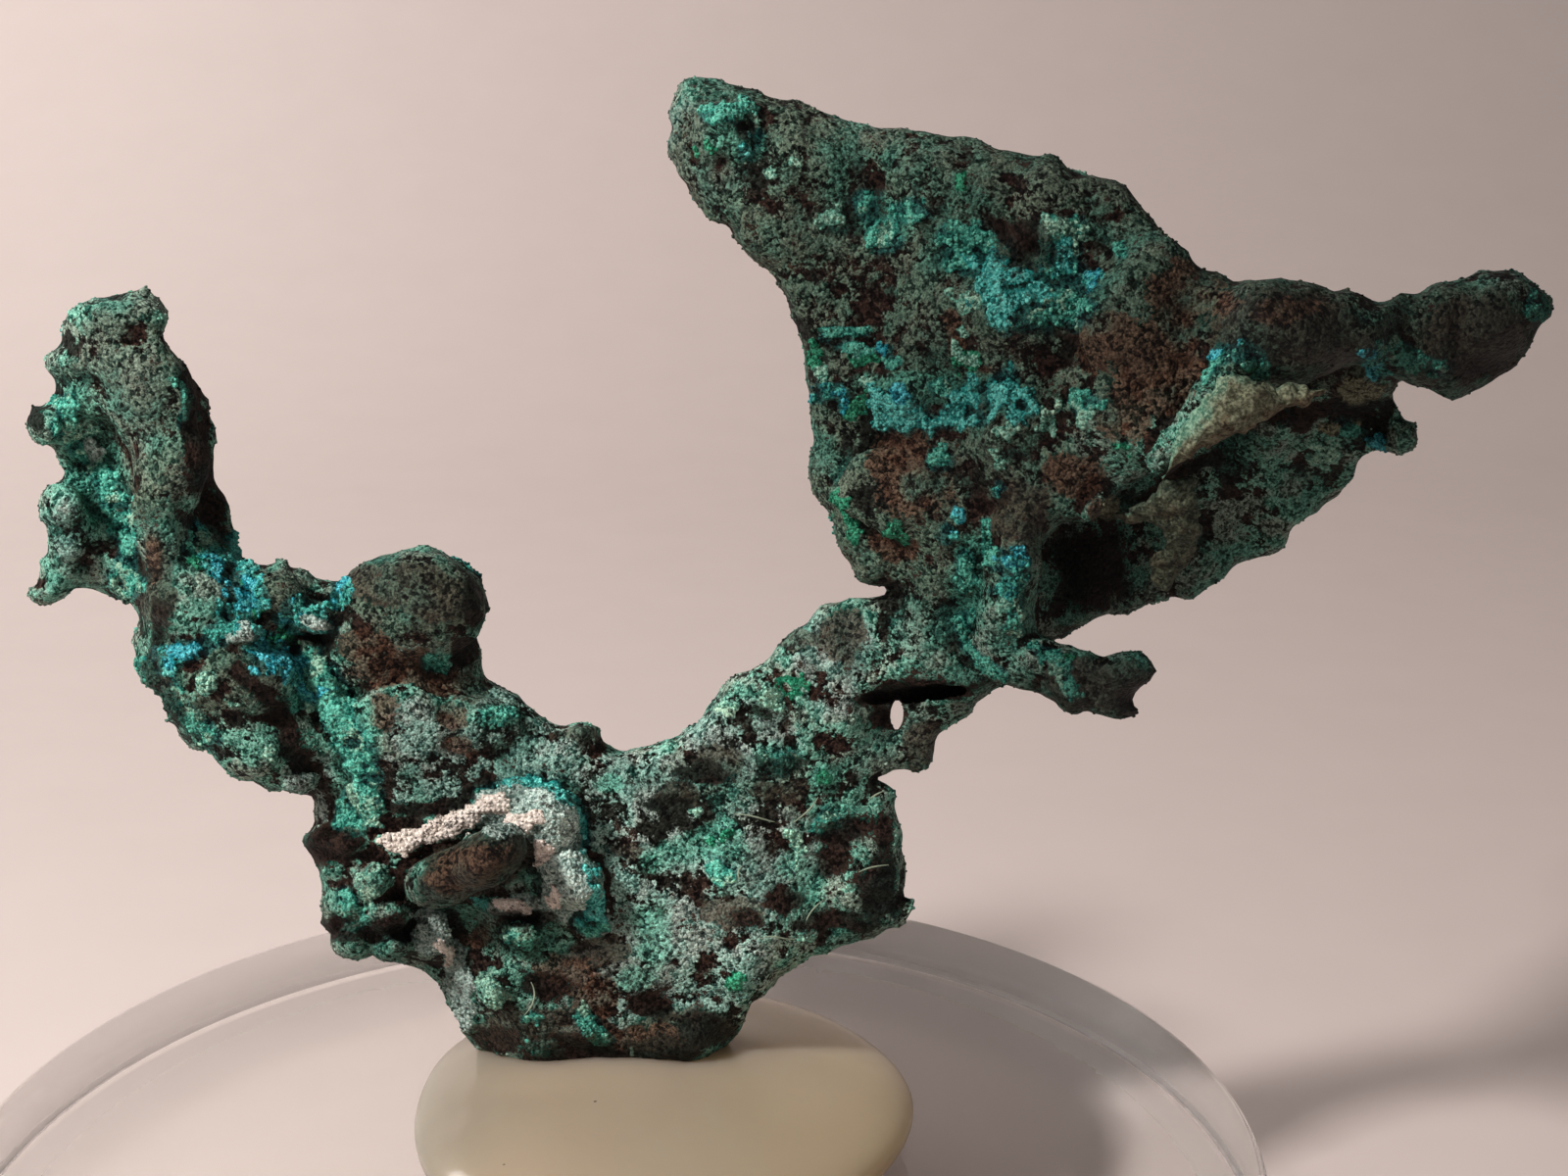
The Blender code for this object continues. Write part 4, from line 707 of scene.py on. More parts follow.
        (31.0, 39.8, 3.0, 1.8), (-17.0, 37.0, 2.0, 4.0), (-5.2, 19.6, 2.0, 0.9),
    ],
    "lilac": [
        (0.9, 22.0, 2.4, 1.8), (-10.8, 22.6, 1.0, 1.2), (-8.3, 22.9, 0.9, 1.0), (2.6, 17.8, 3.4, 3.6),
        (-4.0, 23.4, 3.2, 1.8), (0.4, 14.6, 2.6, 1.4), (-7.2, 25.0, 0.9, 0.8), (3.6, 14.8, 2.2, 1.4),
        (5.6, 19.6, 2.2, 2.0), (-1.0, 12.4, 1.6, 0.9), (-3.6, 26.0, 1.0, 0.8), (5.0, 24.4, 2.0, 1.4),
        (8.6, 27.6, 1.4, 1.8), (-17.2, 38.0, 1.4, 2.6), (-19.6, 32.6, 1.0, 1.0), (4.0, 46.4, 1.6, 1.6),
    ],
    "pale": [
        (-5.9, 14.6, 0.6, 2.0, 10), (-6.9, 16.6, 0.6, 0.9), (-7.3, 17.4, 0.5, 0.3),
        (-3.6, 17.9, 1.3, 0.4, 15), (-13.4, 28.7, 0.35, 0.35), (-10.6, 29.0, 0.6, 0.3),
        (-18.5, 35.6, 0.3, 0.5),
    ],
    "tan": [
        (27.5, 37.75, 0.8, 0.5, -10), (26.7, 36.3, 0.6, 0.22, 15), (27.6, 36.6, 0.3, 0.22),
        (18.6, 33.4, 0.3, 0.6, -20),
    ],
    "bloom": [
        (0.2, 22.8, 0.6, 0.5), (1.7, 16.4, 0.8, 1.6), (2.3, 19.9, 1.5, 0.6, 20), (1.0, 14.6, 0.9, 0.6),
        (7.6, 18.6, 0.8, 1.4), (4.3, 20.4, 0.9, 0.8), (8.3, 23.0, 0.8, 0.7), (8.7, 21.6, 0.7, 0.7),
        (6.9, 19.4, 0.6, 0.7), (6.6, 23.8, 1.0, 0.7), (-4.0, 25.6, 0.8, 0.6), (-18.6, 35.0, 1.2, 3.0),
        (-9.6, 24.0, 1.0, 2.6), (12.0, 38.0, 3.0, 0.6), (15.4, 41.6, 1.4, 1.2), (5.0, 46.8, 1.0, 0.8),
        (-16.8, 27.0, 0.9, 2.0), (13.6, 31.0, 0.8, 1.6), (-3.0, 16.4, 1.6, 0.9),
        (10.4, 44.0, 1.2, 0.8),
    ],
}
STROKES = {
    "teal": [
        (0.4, [(-19.3, 37.3), (-19.2, 36.0), (-18.3, 35.0), (-18.0, 34.0), (-17.7, 33.0),
            (-17.6, 31.5), (-17.5, 30.5)]),
        (0.2, [(-15.2, 38.2), (-15.0, 37.4), (-14.9, 36.7)]),
        (0.6, [(-11.0, 27.4), (-10.3, 26.6), (-10.0, 25.4), (-9.7, 24.4), (-9.3, 23.4), (-9.1, 22.4),
            (-9.3, 21.6), (-9.7, 21.2)]),
        (0.35, [(-17.0, 27.6), (-16.4, 26.4), (-15.6, 25.2), (-14.8, 24.5)]),
        (0.35, [(-0.9, 13.2), (-0.7, 12.6), (-0.3, 12.2)]),
        (0.3, [(4.2, 47.6), (5.0, 47.8), (5.4, 47.4)]),
        (0.25, [(14.3, 33.0), (14.3, 32.2), (14.4, 31.6)]),
        (0.3, [(13.4, 29.3), (13.5, 28.3), (14.0, 27.8), (14.8, 27.4)]),
        (0.45, [(-4.6, 22.2), (-3.5, 22.3), (-2.5, 22.5), (-1.8, 22.0), (-1.5, 21.2), (-1.9, 20.2)]),
        (0.25, [(22.0, 38.3), (22.4, 38.9), (23.2, 39.3)]),
        (0.26, [(16.1, 28.0), (16.7, 27.6), (17.2, 27.1), (17.6, 26.6)]),
        (0.3, [(28.4, 39.4), (29.4, 38.8), (30.4, 38.6)]),
    ],
    "turquoise": [
        (0.35, [(-4.5, 22.5), (-2.9, 22.8), (-1.9, 22.4), (-1.1, 21.4), (-0.9, 20.4)]),
        (0.5, [(-0.8, 19.2), (-0.7, 18.3), (-0.8, 17.4)]),
        (0.3, [(-13.9, 29.8), (-13.3, 29.2), (-12.6, 28.6)]),
        (0.35, [(-16.4, 27.5), (-15.0, 28.3), (-13.3, 29.0)]),
        (0.4, [(-12.8, 30.0), (-13.0, 31.1), (-13.5, 31.9)]),
        (0.3, [(-12.6, 28.2), (-12.0, 27.2), (-11.2, 26.3)]),
    ],
    "blue": [
        (0.38, [(-12.9, 30.6), (-13.3, 29.8), (-14.0, 29.0), (-14.6, 28.5), (-15.5, 28.1),
            (-16.2, 27.8)]),
        (0.2, [(-10.0, 29.9), (-9.5, 30.7)]),
        (0.25, [(-14.4, 31.9), (-13.9, 30.8), (-13.5, 30.2)]),
    ],
    "white": [
        (0.5, [(-8.2, 20.3), (-7.2, 20.6), (-6.4, 20.9), (-5.6, 21.3), (-4.8, 21.6), (-4.2, 21.7)]),
        (0.2, [(-6.2, 15.4), (-6.4, 15.9), (-6.7, 16.3)]),
    ],
    "mint": [
        (0.16, [(16.6, 27.3), (17.1, 26.8), (17.6, 26.2)]),
        (0.3, [(-4.2, 22.0), (-3.2, 21.7), (-2.6, 21.0)]),
    ],
    "pale": [
        (0.95, [(-4.2, 21.6), (-3.0, 21.7), (-2.1, 21.2), (-1.7, 20.0), (-1.5, 18.8), (-1.9, 18.0)]),
    ],
    "dark": [
        (0.25, [(-16.2, 29.7), (-16.9, 27.4), (-16.2, 25.4)]),
        (0.3, [(-13.6, 27.2), (-12.8, 26.4), (-11.9, 25.0), (-11.6, 24.0)]),
        (0.2, [(-8.2, 21.8), (-6.6, 21.6), (-5.2, 22.3), (-4.6, 23.0)]),
        (0.3, [(19.9, 33.9), (20.6, 34.4), (22.4, 35.3)]),
    ],
}
BARE_LUMPS = [
    (-5.3, 19.4, 2.4, 1.1, 27), (-7.0, 30.1, 2.6, 1.6, -8), (25.0, 40.0, 3.0, 1.5, -8),
    (32.0, 40.0, 1.7, 1.4), (-6.4, 15.4, 0.9, 2.2, 15), (-9.2, 18.9, 0.7, 0.7),
    (14.9, 31.0, 0.9, 3.0, 5),
]
# Painted light and shade: lighter on the lower body, darker over the leaf and horn, where the lamp's light
# falls off.
PAINTED_LIGHT_AND_SHADE = [
    (-18.0, 38.0, 1.08, 0), (-15.0, 28.0, 0.86, 0), (-7.0, 30.0, 0.86, 0), (-7.0, 22.0, 1.05, 0),
    (0.0, 22.0, 1.22, 0), (4.0, 17.0, 1.50, 0), (0.0, 12.0, 0.88, 0), (9.0, 18.0, 1.22, 0),
    (8.0, 27.0, 1.14, 0), (9.0, 33.0, 0.82, 0), (5.0, 46.0, 0.86, 0), (8.0, 43.0, 0.64, 0),
    (12.0, 38.0, 0.42, 0), (16.0, 42.0, 0.50, 0), (20.0, 40.0, 0.46, 0), (25.0, 40.0, 0.34, 0),
    (30.0, 39.0, 0.30, 0), (33.0, 40.5, 0.28, 0), (18.0, 27.0, 0.28, 0), (24.0, 34.0, 0.72, 0),
    (28.0, 36.0, 0.58, 0), (15.0, 30.0, 0.62, 0), (19.0, 31.0, 0.40, 0), (22.0, 37.0, 0.80, 0),
    (-5.3, 19.4, 0.62, 0),
]
KINDS = list(PATCHES)
print(sum(len(rows) for rows in PATCHES.values()), "patches of", len(KINDS), "kinds")


# %% [markdown]
# ## From patches to masks
#
# The places where the masks are read are shifted a little by noise, so that no patch keeps its
# even outline. The patches belong to the side that faces the viewer. The far side gets as many
# of its own, at random places.

# %% Masks
FADE = (-1.7, -0.5)  # a mask falls to 0 from 0.5 to 1.7 of a patch's size
FAR_X, FAR_Z = (-20, 30), (12, 47)  # where the far side's patches may lie
FAR_GROWTH, FAR_TILT = (0.8, 1.8), (-60, 60)


def patch_mask(x, z, rows):
    """Most of the patches' own masks: each falls from 1 to 0 round the edge of its ellipse."""
    mask = np.zeros(len(x))
    for row in rows:
        across, up, wide, tall, tilt = (*row, 0)[:5]
        turn = math.radians(tilt)
        dx, dz = x - across, z - up
        along = dx * math.cos(turn) + dz * math.sin(turn)
        over = dz * math.cos(turn) - dx * math.sin(turn)
        mask = np.maximum(mask, smooth_step(-np.hypot(along / wide, over / tall), *FADE))
    return mask


def stroke_mask(x, z, rows):
    """The same round lines: the distance to a line's nearest piece over its half width."""
    mask = np.zeros(len(x))
    for half, route in rows:
        for (ax, az), (bx, bz) in zip(route, route[1:]):
            run, rise = bx - ax, bz - az
            share = np.clip(((x - ax) * run + (z - az) * rise) / (run**2 + rise**2), 0.0, 1.0)
            gap = np.hypot(x - ax - share * run, z - az - share * rise)
            mask = np.maximum(mask, smooth_step(-gap / half, *FADE))
    return mask


def far_side_rows(kind, seed):
    """Patches for the side that is turned away: as many, as large, at random places."""
    random = np.random.default_rng(seed)
    rows = []
    for row in PATCHES[kind]:
        x, z = random.uniform(*FAR_X), random.uniform(*FAR_Z)
        wide, tall = row[2] * random.uniform(*FAR_GROWTH), row[3] * random.uniform(*FAR_GROWTH)
        rows.append((x, z, wide, tall, random.uniform(*FAR_TILT)))
    return rows


copper_x, copper_z = copper_points[:, 0], copper_points[:, 2]
warp_x = 0.3 * value_noise(copper_points, 1.1, 21) + 0.2 * value_noise(copper_points, 0.45, 22)
warp_z = 0.3 * value_noise(copper_points, 1.1, 23) + 0.2 * value_noise(copper_points, 0.45, 24)
drawn_x, drawn_z = copper_x + warp_x, copper_z + warp_z
main_depth, _ = blended(copper_x, copper_z, MAIN_DEPTHS)
back_depth, _ = blended(copper_x, copper_z, BACK_DEPTHS)
off_main = smooth_step(edge_distance(copper_x, copper_z, MAIN_EDGE), -0.3, 0.1)
middle = main_depth + off_main * (np.maximum(back_depth, main_depth) - main_depth)
facing = smooth_step(middle - copper_points[:, 1], -0.9, 0.1)
FAR_SEED = 40
masks = {}
for order, kind in enumerate(KINDS):
    lines = stroke_mask(drawn_x, drawn_z, STROKES.get(kind, []))
    front = np.maximum(patch_mask(drawn_x, drawn_z, PATCHES[kind]), lines)
    back = patch_mask(drawn_x, drawn_z, far_side_rows(kind, FAR_SEED + order))
    masks[kind] = facing * front + (1.0 - facing) * back
print("facing the viewer:", facing.mean().round(3))

# %% [markdown]
# ## Bitten edges
#
# A real crust ends in crumbs. Cell noise eats into the rim of each crust's mask, deeply for the
# green and blue crusts and only a little for the chalky ones. A halo is kept of the uneaten
# masks, for the stain that a crust leaves round itself. The last mask is painted light and shade:
# how much the colour is lightened or darkened from place to place.

# %% Bitten edges
CRUST_KINDS = ("teal", "green", "mint", "blue", "turquoise", "white", "pale", "tan")
CHALKY_KINDS = ("white", "pale", "tan")
DEEP_BITE, SHALLOW_BITE = 1.4, 0.35
crumb = 0.5 - cell_noise(copper_points, 0.62, 51) + 0.6 * (0.5 - cell_noise(copper_points, 0.34, 52))
crumb += 0.25 * value_noise(copper_points, 1.6, 53)
masks["halo"] = np.clip(sum(masks[kind] for kind in ("teal", "blue", "turquoise")), 0.0, 1.0)
for kind in CRUST_KINDS:
    bite = SHALLOW_BITE if kind in CHALKY_KINDS else DEEP_BITE
    bitten = masks[kind] + bite * crumb * smooth_step(masks[kind], 0.0, 0.2)
    masks[kind] = smooth_step(bitten, 0.40, 0.80)
# painted light and shade, blended from the listed brightness values
masks["painted_light_and_shade"], _ = blended(copper_x, copper_z, PAINTED_LIGHT_AND_SHADE)
print({kind: round(float(mask.mean()), 3) for kind, mask in masks.items()})

# %% [markdown]
# ## Fine relief
#
# Crusts stand proud of the metal and are grainy. Bare copper is smoother. The relief moves each
# vertex along its normal by lumps of three sizes, more where a crust's mask is high, and is then
# smoothed a little so that no single vertex sticks out like a thorn.

# %% Relief
def neighbour_mean(values, faces):
    """The mean of each vertex's neighbours along the faces' sides."""
    one, two = faces.ravel(), np.roll(faces, -1, axis=1).ravel()
    size = len(values)
    total = np.bincount(one, values[two], size) + np.bincount(two, values[one], size)
    return total / (np.bincount(one, minlength=size) + np.bincount(two, minlength=size))


crust = np.clip(sum(masks[kind] for kind in CRUST_KINDS), 0.0, 1.0)
bare = np.clip(masks["brown"] + masks["olive"] * 0.3, 0.0, 1.0)
worn = patch_mask(drawn_x, drawn_z, BARE_LUMPS) * facing
coarse_grain = CELL_MIDDLE - cell_noise(copper_points, 0.95, 31)
fine_grain = CELL_MIDDLE - cell_noise(copper_points, 0.48, 34)
coarse_height = 0.10 + 0.12 * crust - 0.04 * bare
fine_height = 0.10 + 0.16 * crust - 0.03 * bare - 0.14 * masks["white"]
relief = 0.12 * value_noise(copper_points, 1.3, 33)
relief += coarse_height * coarse_grain + fine_height * fine_grain
relief *= 1.0 - 0.6 * worn
relief = relief + 0.13 * crust + 0.20 * masks["white"] - 0.06 * masks["dark"] - 0.04
relief += (0.75 - 0.35 * crust) * (neighbour_mean(relief, copper_faces) - relief)
copper_points = copper_points + copper_normals * relief[:, None]
print("relief from", relief.min().round(2), "to", relief.max().round(2), "mm")

# %% [markdown]
# ## Hollow and proud places
#
# A vertex in a hollow lies under the mean of its neighbours, and one on a grain lies over it.
# Both are measured: the material paints shade into the hollows and lets the oxide show through
# the film there, and crust grows on what stands out.

# %% Hollows
def hollows(points, faces, normals, rounds):
    """How far each vertex lies under its neighbours, in mm: their mean less the vertex, along its
    normal, averaged over the neighbours a few times."""
    around = np.stack([neighbour_mean(points[:, axis], faces) for axis in range(3)], axis=1)
    depth = ((around - points) * normals).sum(axis=1)
    for _ in range(rounds):
        depth = 0.5 * depth + 0.5 * neighbour_mean(depth, faces)
    return depth


copper_normals = normals_of(copper_points, copper_faces)
sunk = hollows(copper_points, copper_faces, copper_normals, 2)
sunk_spread = float(sunk.std())
hollow_share = smooth_step(sunk / sunk_spread, 0.0, 2.2)
proud_share = smooth_step(-sunk / sunk_spread, -0.2, 2.0)
print("hollows", hollow_share.mean().round(3), "proud", proud_share.mean().round(3))

# %% [markdown]
# ## Into place
#
# Everything so far stands on the drawn plane with its depth beside it. Sliding each point along
# its line of sight gives the true place and leaves the outline as it was drawn. Then the arrays
# become a mesh, with its masks as attributes that a material can read.

# %% Into place
def placed(points):
    """Slides drawn points along their lines of sight to their true places: the offset from the
    eye is stretched by 1 + depth / the eye's distance from the drawing."""
    stretch = 1.0 - points[:, 1:2] / EYE[1]
    return EYE + (points * (1.0, 0.0, 1.0) - EYE) * stretch


def mesh_piece(name, points, faces, values=None):
    """A mesh object from arrays, shaded smooth, with a number for each vertex under each name."""
    mesh = bpy.data.meshes.new(name)
    mesh.from_pydata((np.asarray(points) * MM).tolist(), [], [list(face) for face in faces])
    mesh.polygons.foreach_set("use_smooth", np.ones(len(mesh.polygons), bool))
    for label, numbers in (values or {}).items():
        layer = mesh.attributes.new(label, "FLOAT", "POINT")
        layer.data.foreach_set("value", np.asarray(numbers, np.float32))
    mesh.update()
    made = bpy.data.objects.new(name, mesh)
    bpy.context.scene.collection.objects.link(made)
    return made


skin_values = {**masks, "hollow": hollow_share, "proud": proud_share}
copper = mesh_piece("copper_body", placed(copper_points), copper_faces.tolist(), skin_values)
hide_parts("copper_nugget")
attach(copper, "root")
print("copper body in place,", len(skin_values), "masks")

# %% [markdown]
# ## A flat map
#
# A map of the skin is needed where the finished material is to be baked. Unwrapping so rough a
# skin gives thousands of islands. The plate is thin, so its front and its back can simply be
# laid down as they are seen from either side.

# %% Flat map
MAP_CELL = 0.4  # size of the squares in which the foremost and hindmost faces are looked for
BEHIND = 1.0  # a face this far behind another goes to a strip of its own
STRIP_STARTS = np.array([0.0, 0.42, 0.84, 0.92])
STRIP_HEIGHTS = np.array([0.415, 0.415, 0.075, 0.075])


def flat_map(piece, points, faces):
    """A texture map without a thousand islands: the front and the back laid side by side as seen
    along Y, and two narrow strips for faces that lie more than a millimetre behind others."""
    centre, corner = points[faces].mean(axis=1), points[faces]
    cross = np.cross(corner[:, 2] - corner[:, 0], corner[:, 3] - corner[:, 1])
    front, depth = cross[:, 1] < 0, centre[:, 1]
    low, high = points.min(axis=0), points.max(axis=0)
    cell = np.floor((centre[:, [0, 2]] - low[[0, 2]]) / MAP_CELL).astype(int) @ (1000, 1)
    nearest = np.full(cell.max() + 1, 1e9)
    farthest = -nearest
    np.minimum.at(nearest, cell[front], depth[front])
    np.maximum.at(farthest, cell[~front], depth[~front])
    behind = np.where(front, depth > nearest[cell] + BEHIND, depth < farthest[cell] - BEHIND)
    strip = np.where(behind, 2, 0) + ~front
    start, tall = STRIP_STARTS[strip], STRIP_HEIGHTS[strip]
    across = (points[faces, 0] - low[0]) / (high[0] - low[0])
    up = start[:, None] + tall[:, None] * (points[faces, 2] - low[2]) / (high[2] - low[2])
    layer = piece.data.uv_layers.new(name="OFBake")
    layer.uv.foreach_set("vector", np.stack([across, up], axis=-1).astype(np.float32).ravel())
    print("flat map:", np.bincount(strip), "faces in its four strips")


flat_map(copper, copper_points, copper_faces)

# %% [markdown]
# ## Two lifted flakes
#
# Along the fold two thin flakes of crust have come away: a long pale blade, and a dull hook under
# it. Each is lofted between two edge lines, bulged forwards, given a thickness that tapers to its
# rim, and roughened. A real flake has a torn edge, so its edge lines are shifted by noise too.

# %% Flake edges
BLADE_TOP = [
    (20.5, -5.8, 34.8), (20.7, -6.1, 35.5), (21.05, -6.4, 36.3), (21.5, -6.7, 37.0), (21.9, -7.0, 37.8),
    (22.3, -7.1, 38.3), (22.65, -7.1, 38.6), (23.05, -7.2, 38.35), (23.5, -7.0, 38.1), (24.1, -6.6, 38.05),
    (24.8, -6.4, 38.0), (25.5, -6.3, 37.95), (26.3, -6.2, 37.75),
]
BLADE_FOOT = [
    (20.65, -5.9, 34.7), (21.0, -6.2, 34.9), (21.5, -6.4, 35.25), (22.1, -6.6, 35.6), (22.75, -6.8, 36.0),
    (23.4, -6.9, 36.4), (23.95, -6.9, 36.65), (24.5, -6.8, 36.9), (25.25, -6.6, 37.15), (25.9, -6.4, 37.4),
    (26.3, -6.2, 37.6),
]
HOOK_OUTSIDE = [
    (18.7, -3.1, 33.05), (19.4, -3.9, 33.3), (20.0, -4.6, 33.8), (20.7, -5.3, 34.5), (21.6, -5.5, 34.6),
    (21.95, -5.0, 33.3), (22.0, -4.4, 32.4), (21.95, -3.8, 31.6), (21.3, -3.3, 31.0), (20.75, -2.9, 30.35),
]
HOOK_INSIDE = [
    (18.75, -3.0, 32.9), (19.4, -3.6, 32.95), (19.95, -4.0, 32.8), (20.5, -4.3, 32.5), (20.75, -4.2, 32.2),
    (20.4, -3.8, 31.8), (20.05, -3.4, 31.4), (20.4, -3.1, 30.9), (20.7, -2.9, 30.4),
]


def along(route, count):
    """Points on a listed line, evenly spaced by its length."""
    route = np.array(route, float)
    run = np.concatenate([[0.0], np.cumsum(np.linalg.norm(np.diff(route, axis=0), axis=1))])
    wanted = np.linspace(0.0, run[-1], count)
    return np.stack([np.interp(wanted, run, route[:, axis]) for axis in range(3)], axis=1)


def two_skins(rows, columns):
    """Faces of a closed sheet whose points are listed as two grids: those of the front, those of
    the back turned over, and a wall round the rim."""
    number = np.arange(rows * columns).reshape(rows, columns)
    near, far = (number[:-1, :-1], number[:-1, 1:]), (number[1:, 1:], number[1:, :-1])
    quads = np.stack([*near, *far], axis=-1).reshape(-1, 4)
    ring = np.concatenate([number[0, :-1], number[:-1, -1], number[-1, :0:-1], number[:0:-1, 0]])
    beyond, count = np.roll(ring, -1), rows * columns
    wall = np.stack([ring, ring + count, beyond + count, beyond], axis=1)
    return np.concatenate([quads, quads[:, ::-1] + count, wall])


def volume_of(points, faces):
    """The signed volume: a sixth of the sum, over the triangles, of a corner times the cross
    product of the other two."""
    a, b, c, d = (points[faces[:, at]] for at in range(4))
    return float((a * np.cross(b, c) + a * np.cross(c, d)).sum() / 6)


print("blade:", len(BLADE_TOP + BLADE_FOOT), "points, hook:", len(HOOK_OUTSIDE + HOOK_INSIDE))

# %% Flakes
TORN = 0.22  # how far the torn edges are shifted
THINNEST = 0.04  # half the thickness at the rim


def flake(name, top, foot, bulge, thick, dull, seed, rows=170, columns=50):
    """A closed sheet. Its middle is the mean of the two edge lines, each counted by how near it
    is, moved forwards by bulge times the sine across. Its skins lie half the thickness before and
    behind, times the fourth root of how far the point is from the rim."""
    across = np.linspace(0.0, 1.0, columns)[None, :, None]
    length = np.linspace(0.0, 1.0, rows)[:, None, None]
    middle = along(top, rows)[:, None] * (1 - across) + along(foot, rows)[:, None] * across
    flat = middle.reshape(-1, 3).copy()
    for axis, shift in ((0, 0), (2, 1)):
        torn = value_noise(flat, 0.5, seed + shift) + 0.5 * value_noise(flat, 0.22, seed + shift + 3)
        middle[..., axis] += (TORN * torn).reshape(rows, columns)
    rim = (16 * across * (1 - across) * length * (1 - length))[..., 0]
    rise = bulge * np.sin(np.pi * across[..., 0]) * np.sin(np.pi * length[..., 0]) ** 0.5
    flat = middle.reshape(-1, 3)
    rough = 0.16 * value_noise(flat, 0.7, seed + 7) + 0.10 * (0.5 - cell_noise(flat, 0.3, seed + 8))
    rough = rough + 0.05 * value_noise(flat, 0.15, seed + 9)
    half = THINNEST + thick / 2 * np.clip(rim, 0, 1) ** 0.25
    front, back = middle.copy(), middle.copy()
    front[..., 1] -= rise + half + rough.reshape(rows, columns)
    back[..., 1] += half - rise - 0.5 * rough.reshape(rows, columns)
    faces = two_skins(rows, columns)
    points = np.concatenate([front.reshape(-1, 3), back.reshape(-1, 3)])
    volume = volume_of(points, faces)
    faces = faces if volume > 0 else faces[:, ::-1]
    values = {"dull": np.full(2 * rows * columns, dull)}
    for label, share in (("across", across), ("length", length)):
        values[label] = np.tile(np.broadcast_to(share[..., 0], (rows, columns)).ravel(), 2)
    made = mesh_piece(name, placed(points), faces.tolist(), values)
    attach(made, "root")
    print(name, len(faces), "faces, volume", round(abs(volume), 2), "mm3")
    return made


blade = flake("pale_blade", BLADE_TOP, BLADE_FOOT, bulge=0.45, thick=0.55, dull=0.0, seed=81)
hook = flake("dull_hook", HOOK_OUTSIDE, HOOK_INSIDE, bulge=0.25, thick=0.45, dull=1.0, seed=91)

# %% [markdown]
# ## Fibres
#
# A few pale fibres cling to the front of the lower body. Each is a thin tube along a listed
# (x, z) line, resting on the most forward vertex near each of its points.

# %% Fibres
FIBRES = [
    [(4.8, 21.5), (5.4, 21.45), (5.95, 21.3), (6.35, 21.2)],
    [(7.05, 21.15), (7.4, 21.45), (7.7, 21.75), (8.0, 22.2)],
    [(5.1, 19.4), (4.95, 19.15), (5.0, 18.8)],
    [(8.2, 18.0), (7.8, 17.6), (7.55, 17.15)],
    [(5.8, 16.4), (6.3, 16.5), (6.8, 16.4), (7.25, 16.45)],
    [(9.55, 19.15), (10.05, 19.35), (10.7, 19.45)],
    [(9.9, 22.1), (10.2, 22.3), (10.5, 22.45)],
    [(-3.4, 13.2), (-3.0, 13.9), (-3.1, 14.6)],
]


FIBRE_STEPS, FIBRE_SIDES = 22, 6
FIBRE_RADIUS = 0.035
FIBRE_LIFT = 0.10  # how far a fibre's middle lies in front of the skin
FIBRE_EASE = 7  # its depth is the mean over this many steps


def curve_through(route, steps):
    """A smooth line through listed points: each coordinate is the polynomial through them all."""
    route = np.array(route)
    listed, wanted = np.linspace(0, 1, len(route)), np.linspace(0, 1, steps)
    curves = [np.polyfit(listed, route[:, axis], len(route) - 1) for axis in (0, 1)]
    return np.stack([np.polyval(curve, wanted) for curve in curves], axis=1)


def front_at(x, z, reach=0.3):
    """The depth of the most forward vertex within reach of (x, z)."""
    near = np.hypot(copper_points[:, 0] - x, copper_points[:, 2] - z) < reach
    return copper_points[near, 1].min()


def tube(line, radius, sides):
    """Points and faces of a closed tube. Round each point of the line lies a ring, at right
    angles to the line. Its radius grows from 0.35 of the full one at the ends as a sine."""
    turn = np.linspace(0, 2 * np.pi, sides, endpoint=False)
    way = np.gradient(line, axis=0)
    way /= np.linalg.norm(way, axis=1, keepdims=True)
    side = np.cross(way, (0.0, 1.0, 0.0))
    side /= np.linalg.norm(side, axis=1, keepdims=True)
    third = np.cross(way, side)
    wide = radius * (0.35 + 0.65 * np.sin(np.linspace(0, np.pi, len(line))))[:, None, None]
    out = side[:, None] * np.cos(turn)[None, :, None] + third[:, None] * np.sin(turn)[None, :, None]
    ring = line[:, None] + wide * out
    here = np.arange(len(line) - 1)[:, None] * sides + np.arange(sides)
    beside = np.arange(len(line) - 1)[:, None] * sides + np.roll(np.arange(sides), -1)
    quads = np.stack([here, beside, beside + sides, here + sides], axis=-1).reshape(-1, 4).tolist()
    last = (len(line) - 1) * sides
    return ring.reshape(-1, 3), quads + [list(range(sides))[::-1], list(range(last, last + sides))]


fibre_points, fibre_faces = [], []
for route in FIBRES:
    line = curve_through(route, FIBRE_STEPS)
    depth = np.array([front_at(x, z) for x, z in line])
    padded = np.pad(depth, FIBRE_EASE // 2, mode="edge")
    depth = np.convolve(padded, np.ones(FIBRE_EASE) / FIBRE_EASE, mode="valid") - FIBRE_LIFT
    line = np.stack([line[:, 0], depth, line[:, 1]], axis=1)
    points, faces = tube(line, FIBRE_RADIUS, FIBRE_SIDES)
    first = len(points) * len(fibre_points)
    fibre_faces += [[first + n for n in face] for face in faces]
    fibre_points.append(points)
fibres = mesh_piece("fibres", placed(np.concatenate(fibre_points)), fibre_faces)
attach(fibres, "root")
print("fibres", len(fibre_faces), "faces")

# %% [markdown]
# ## Grains
#
# Close up, every crust is a heap of tiny lumps. They are real meshes here: small bodies of twenty
# faces, pushed out of round, more than half sunk in the surface. Bright grains crowd on the
# crusts, grey ones are strewn thinly over the rest.

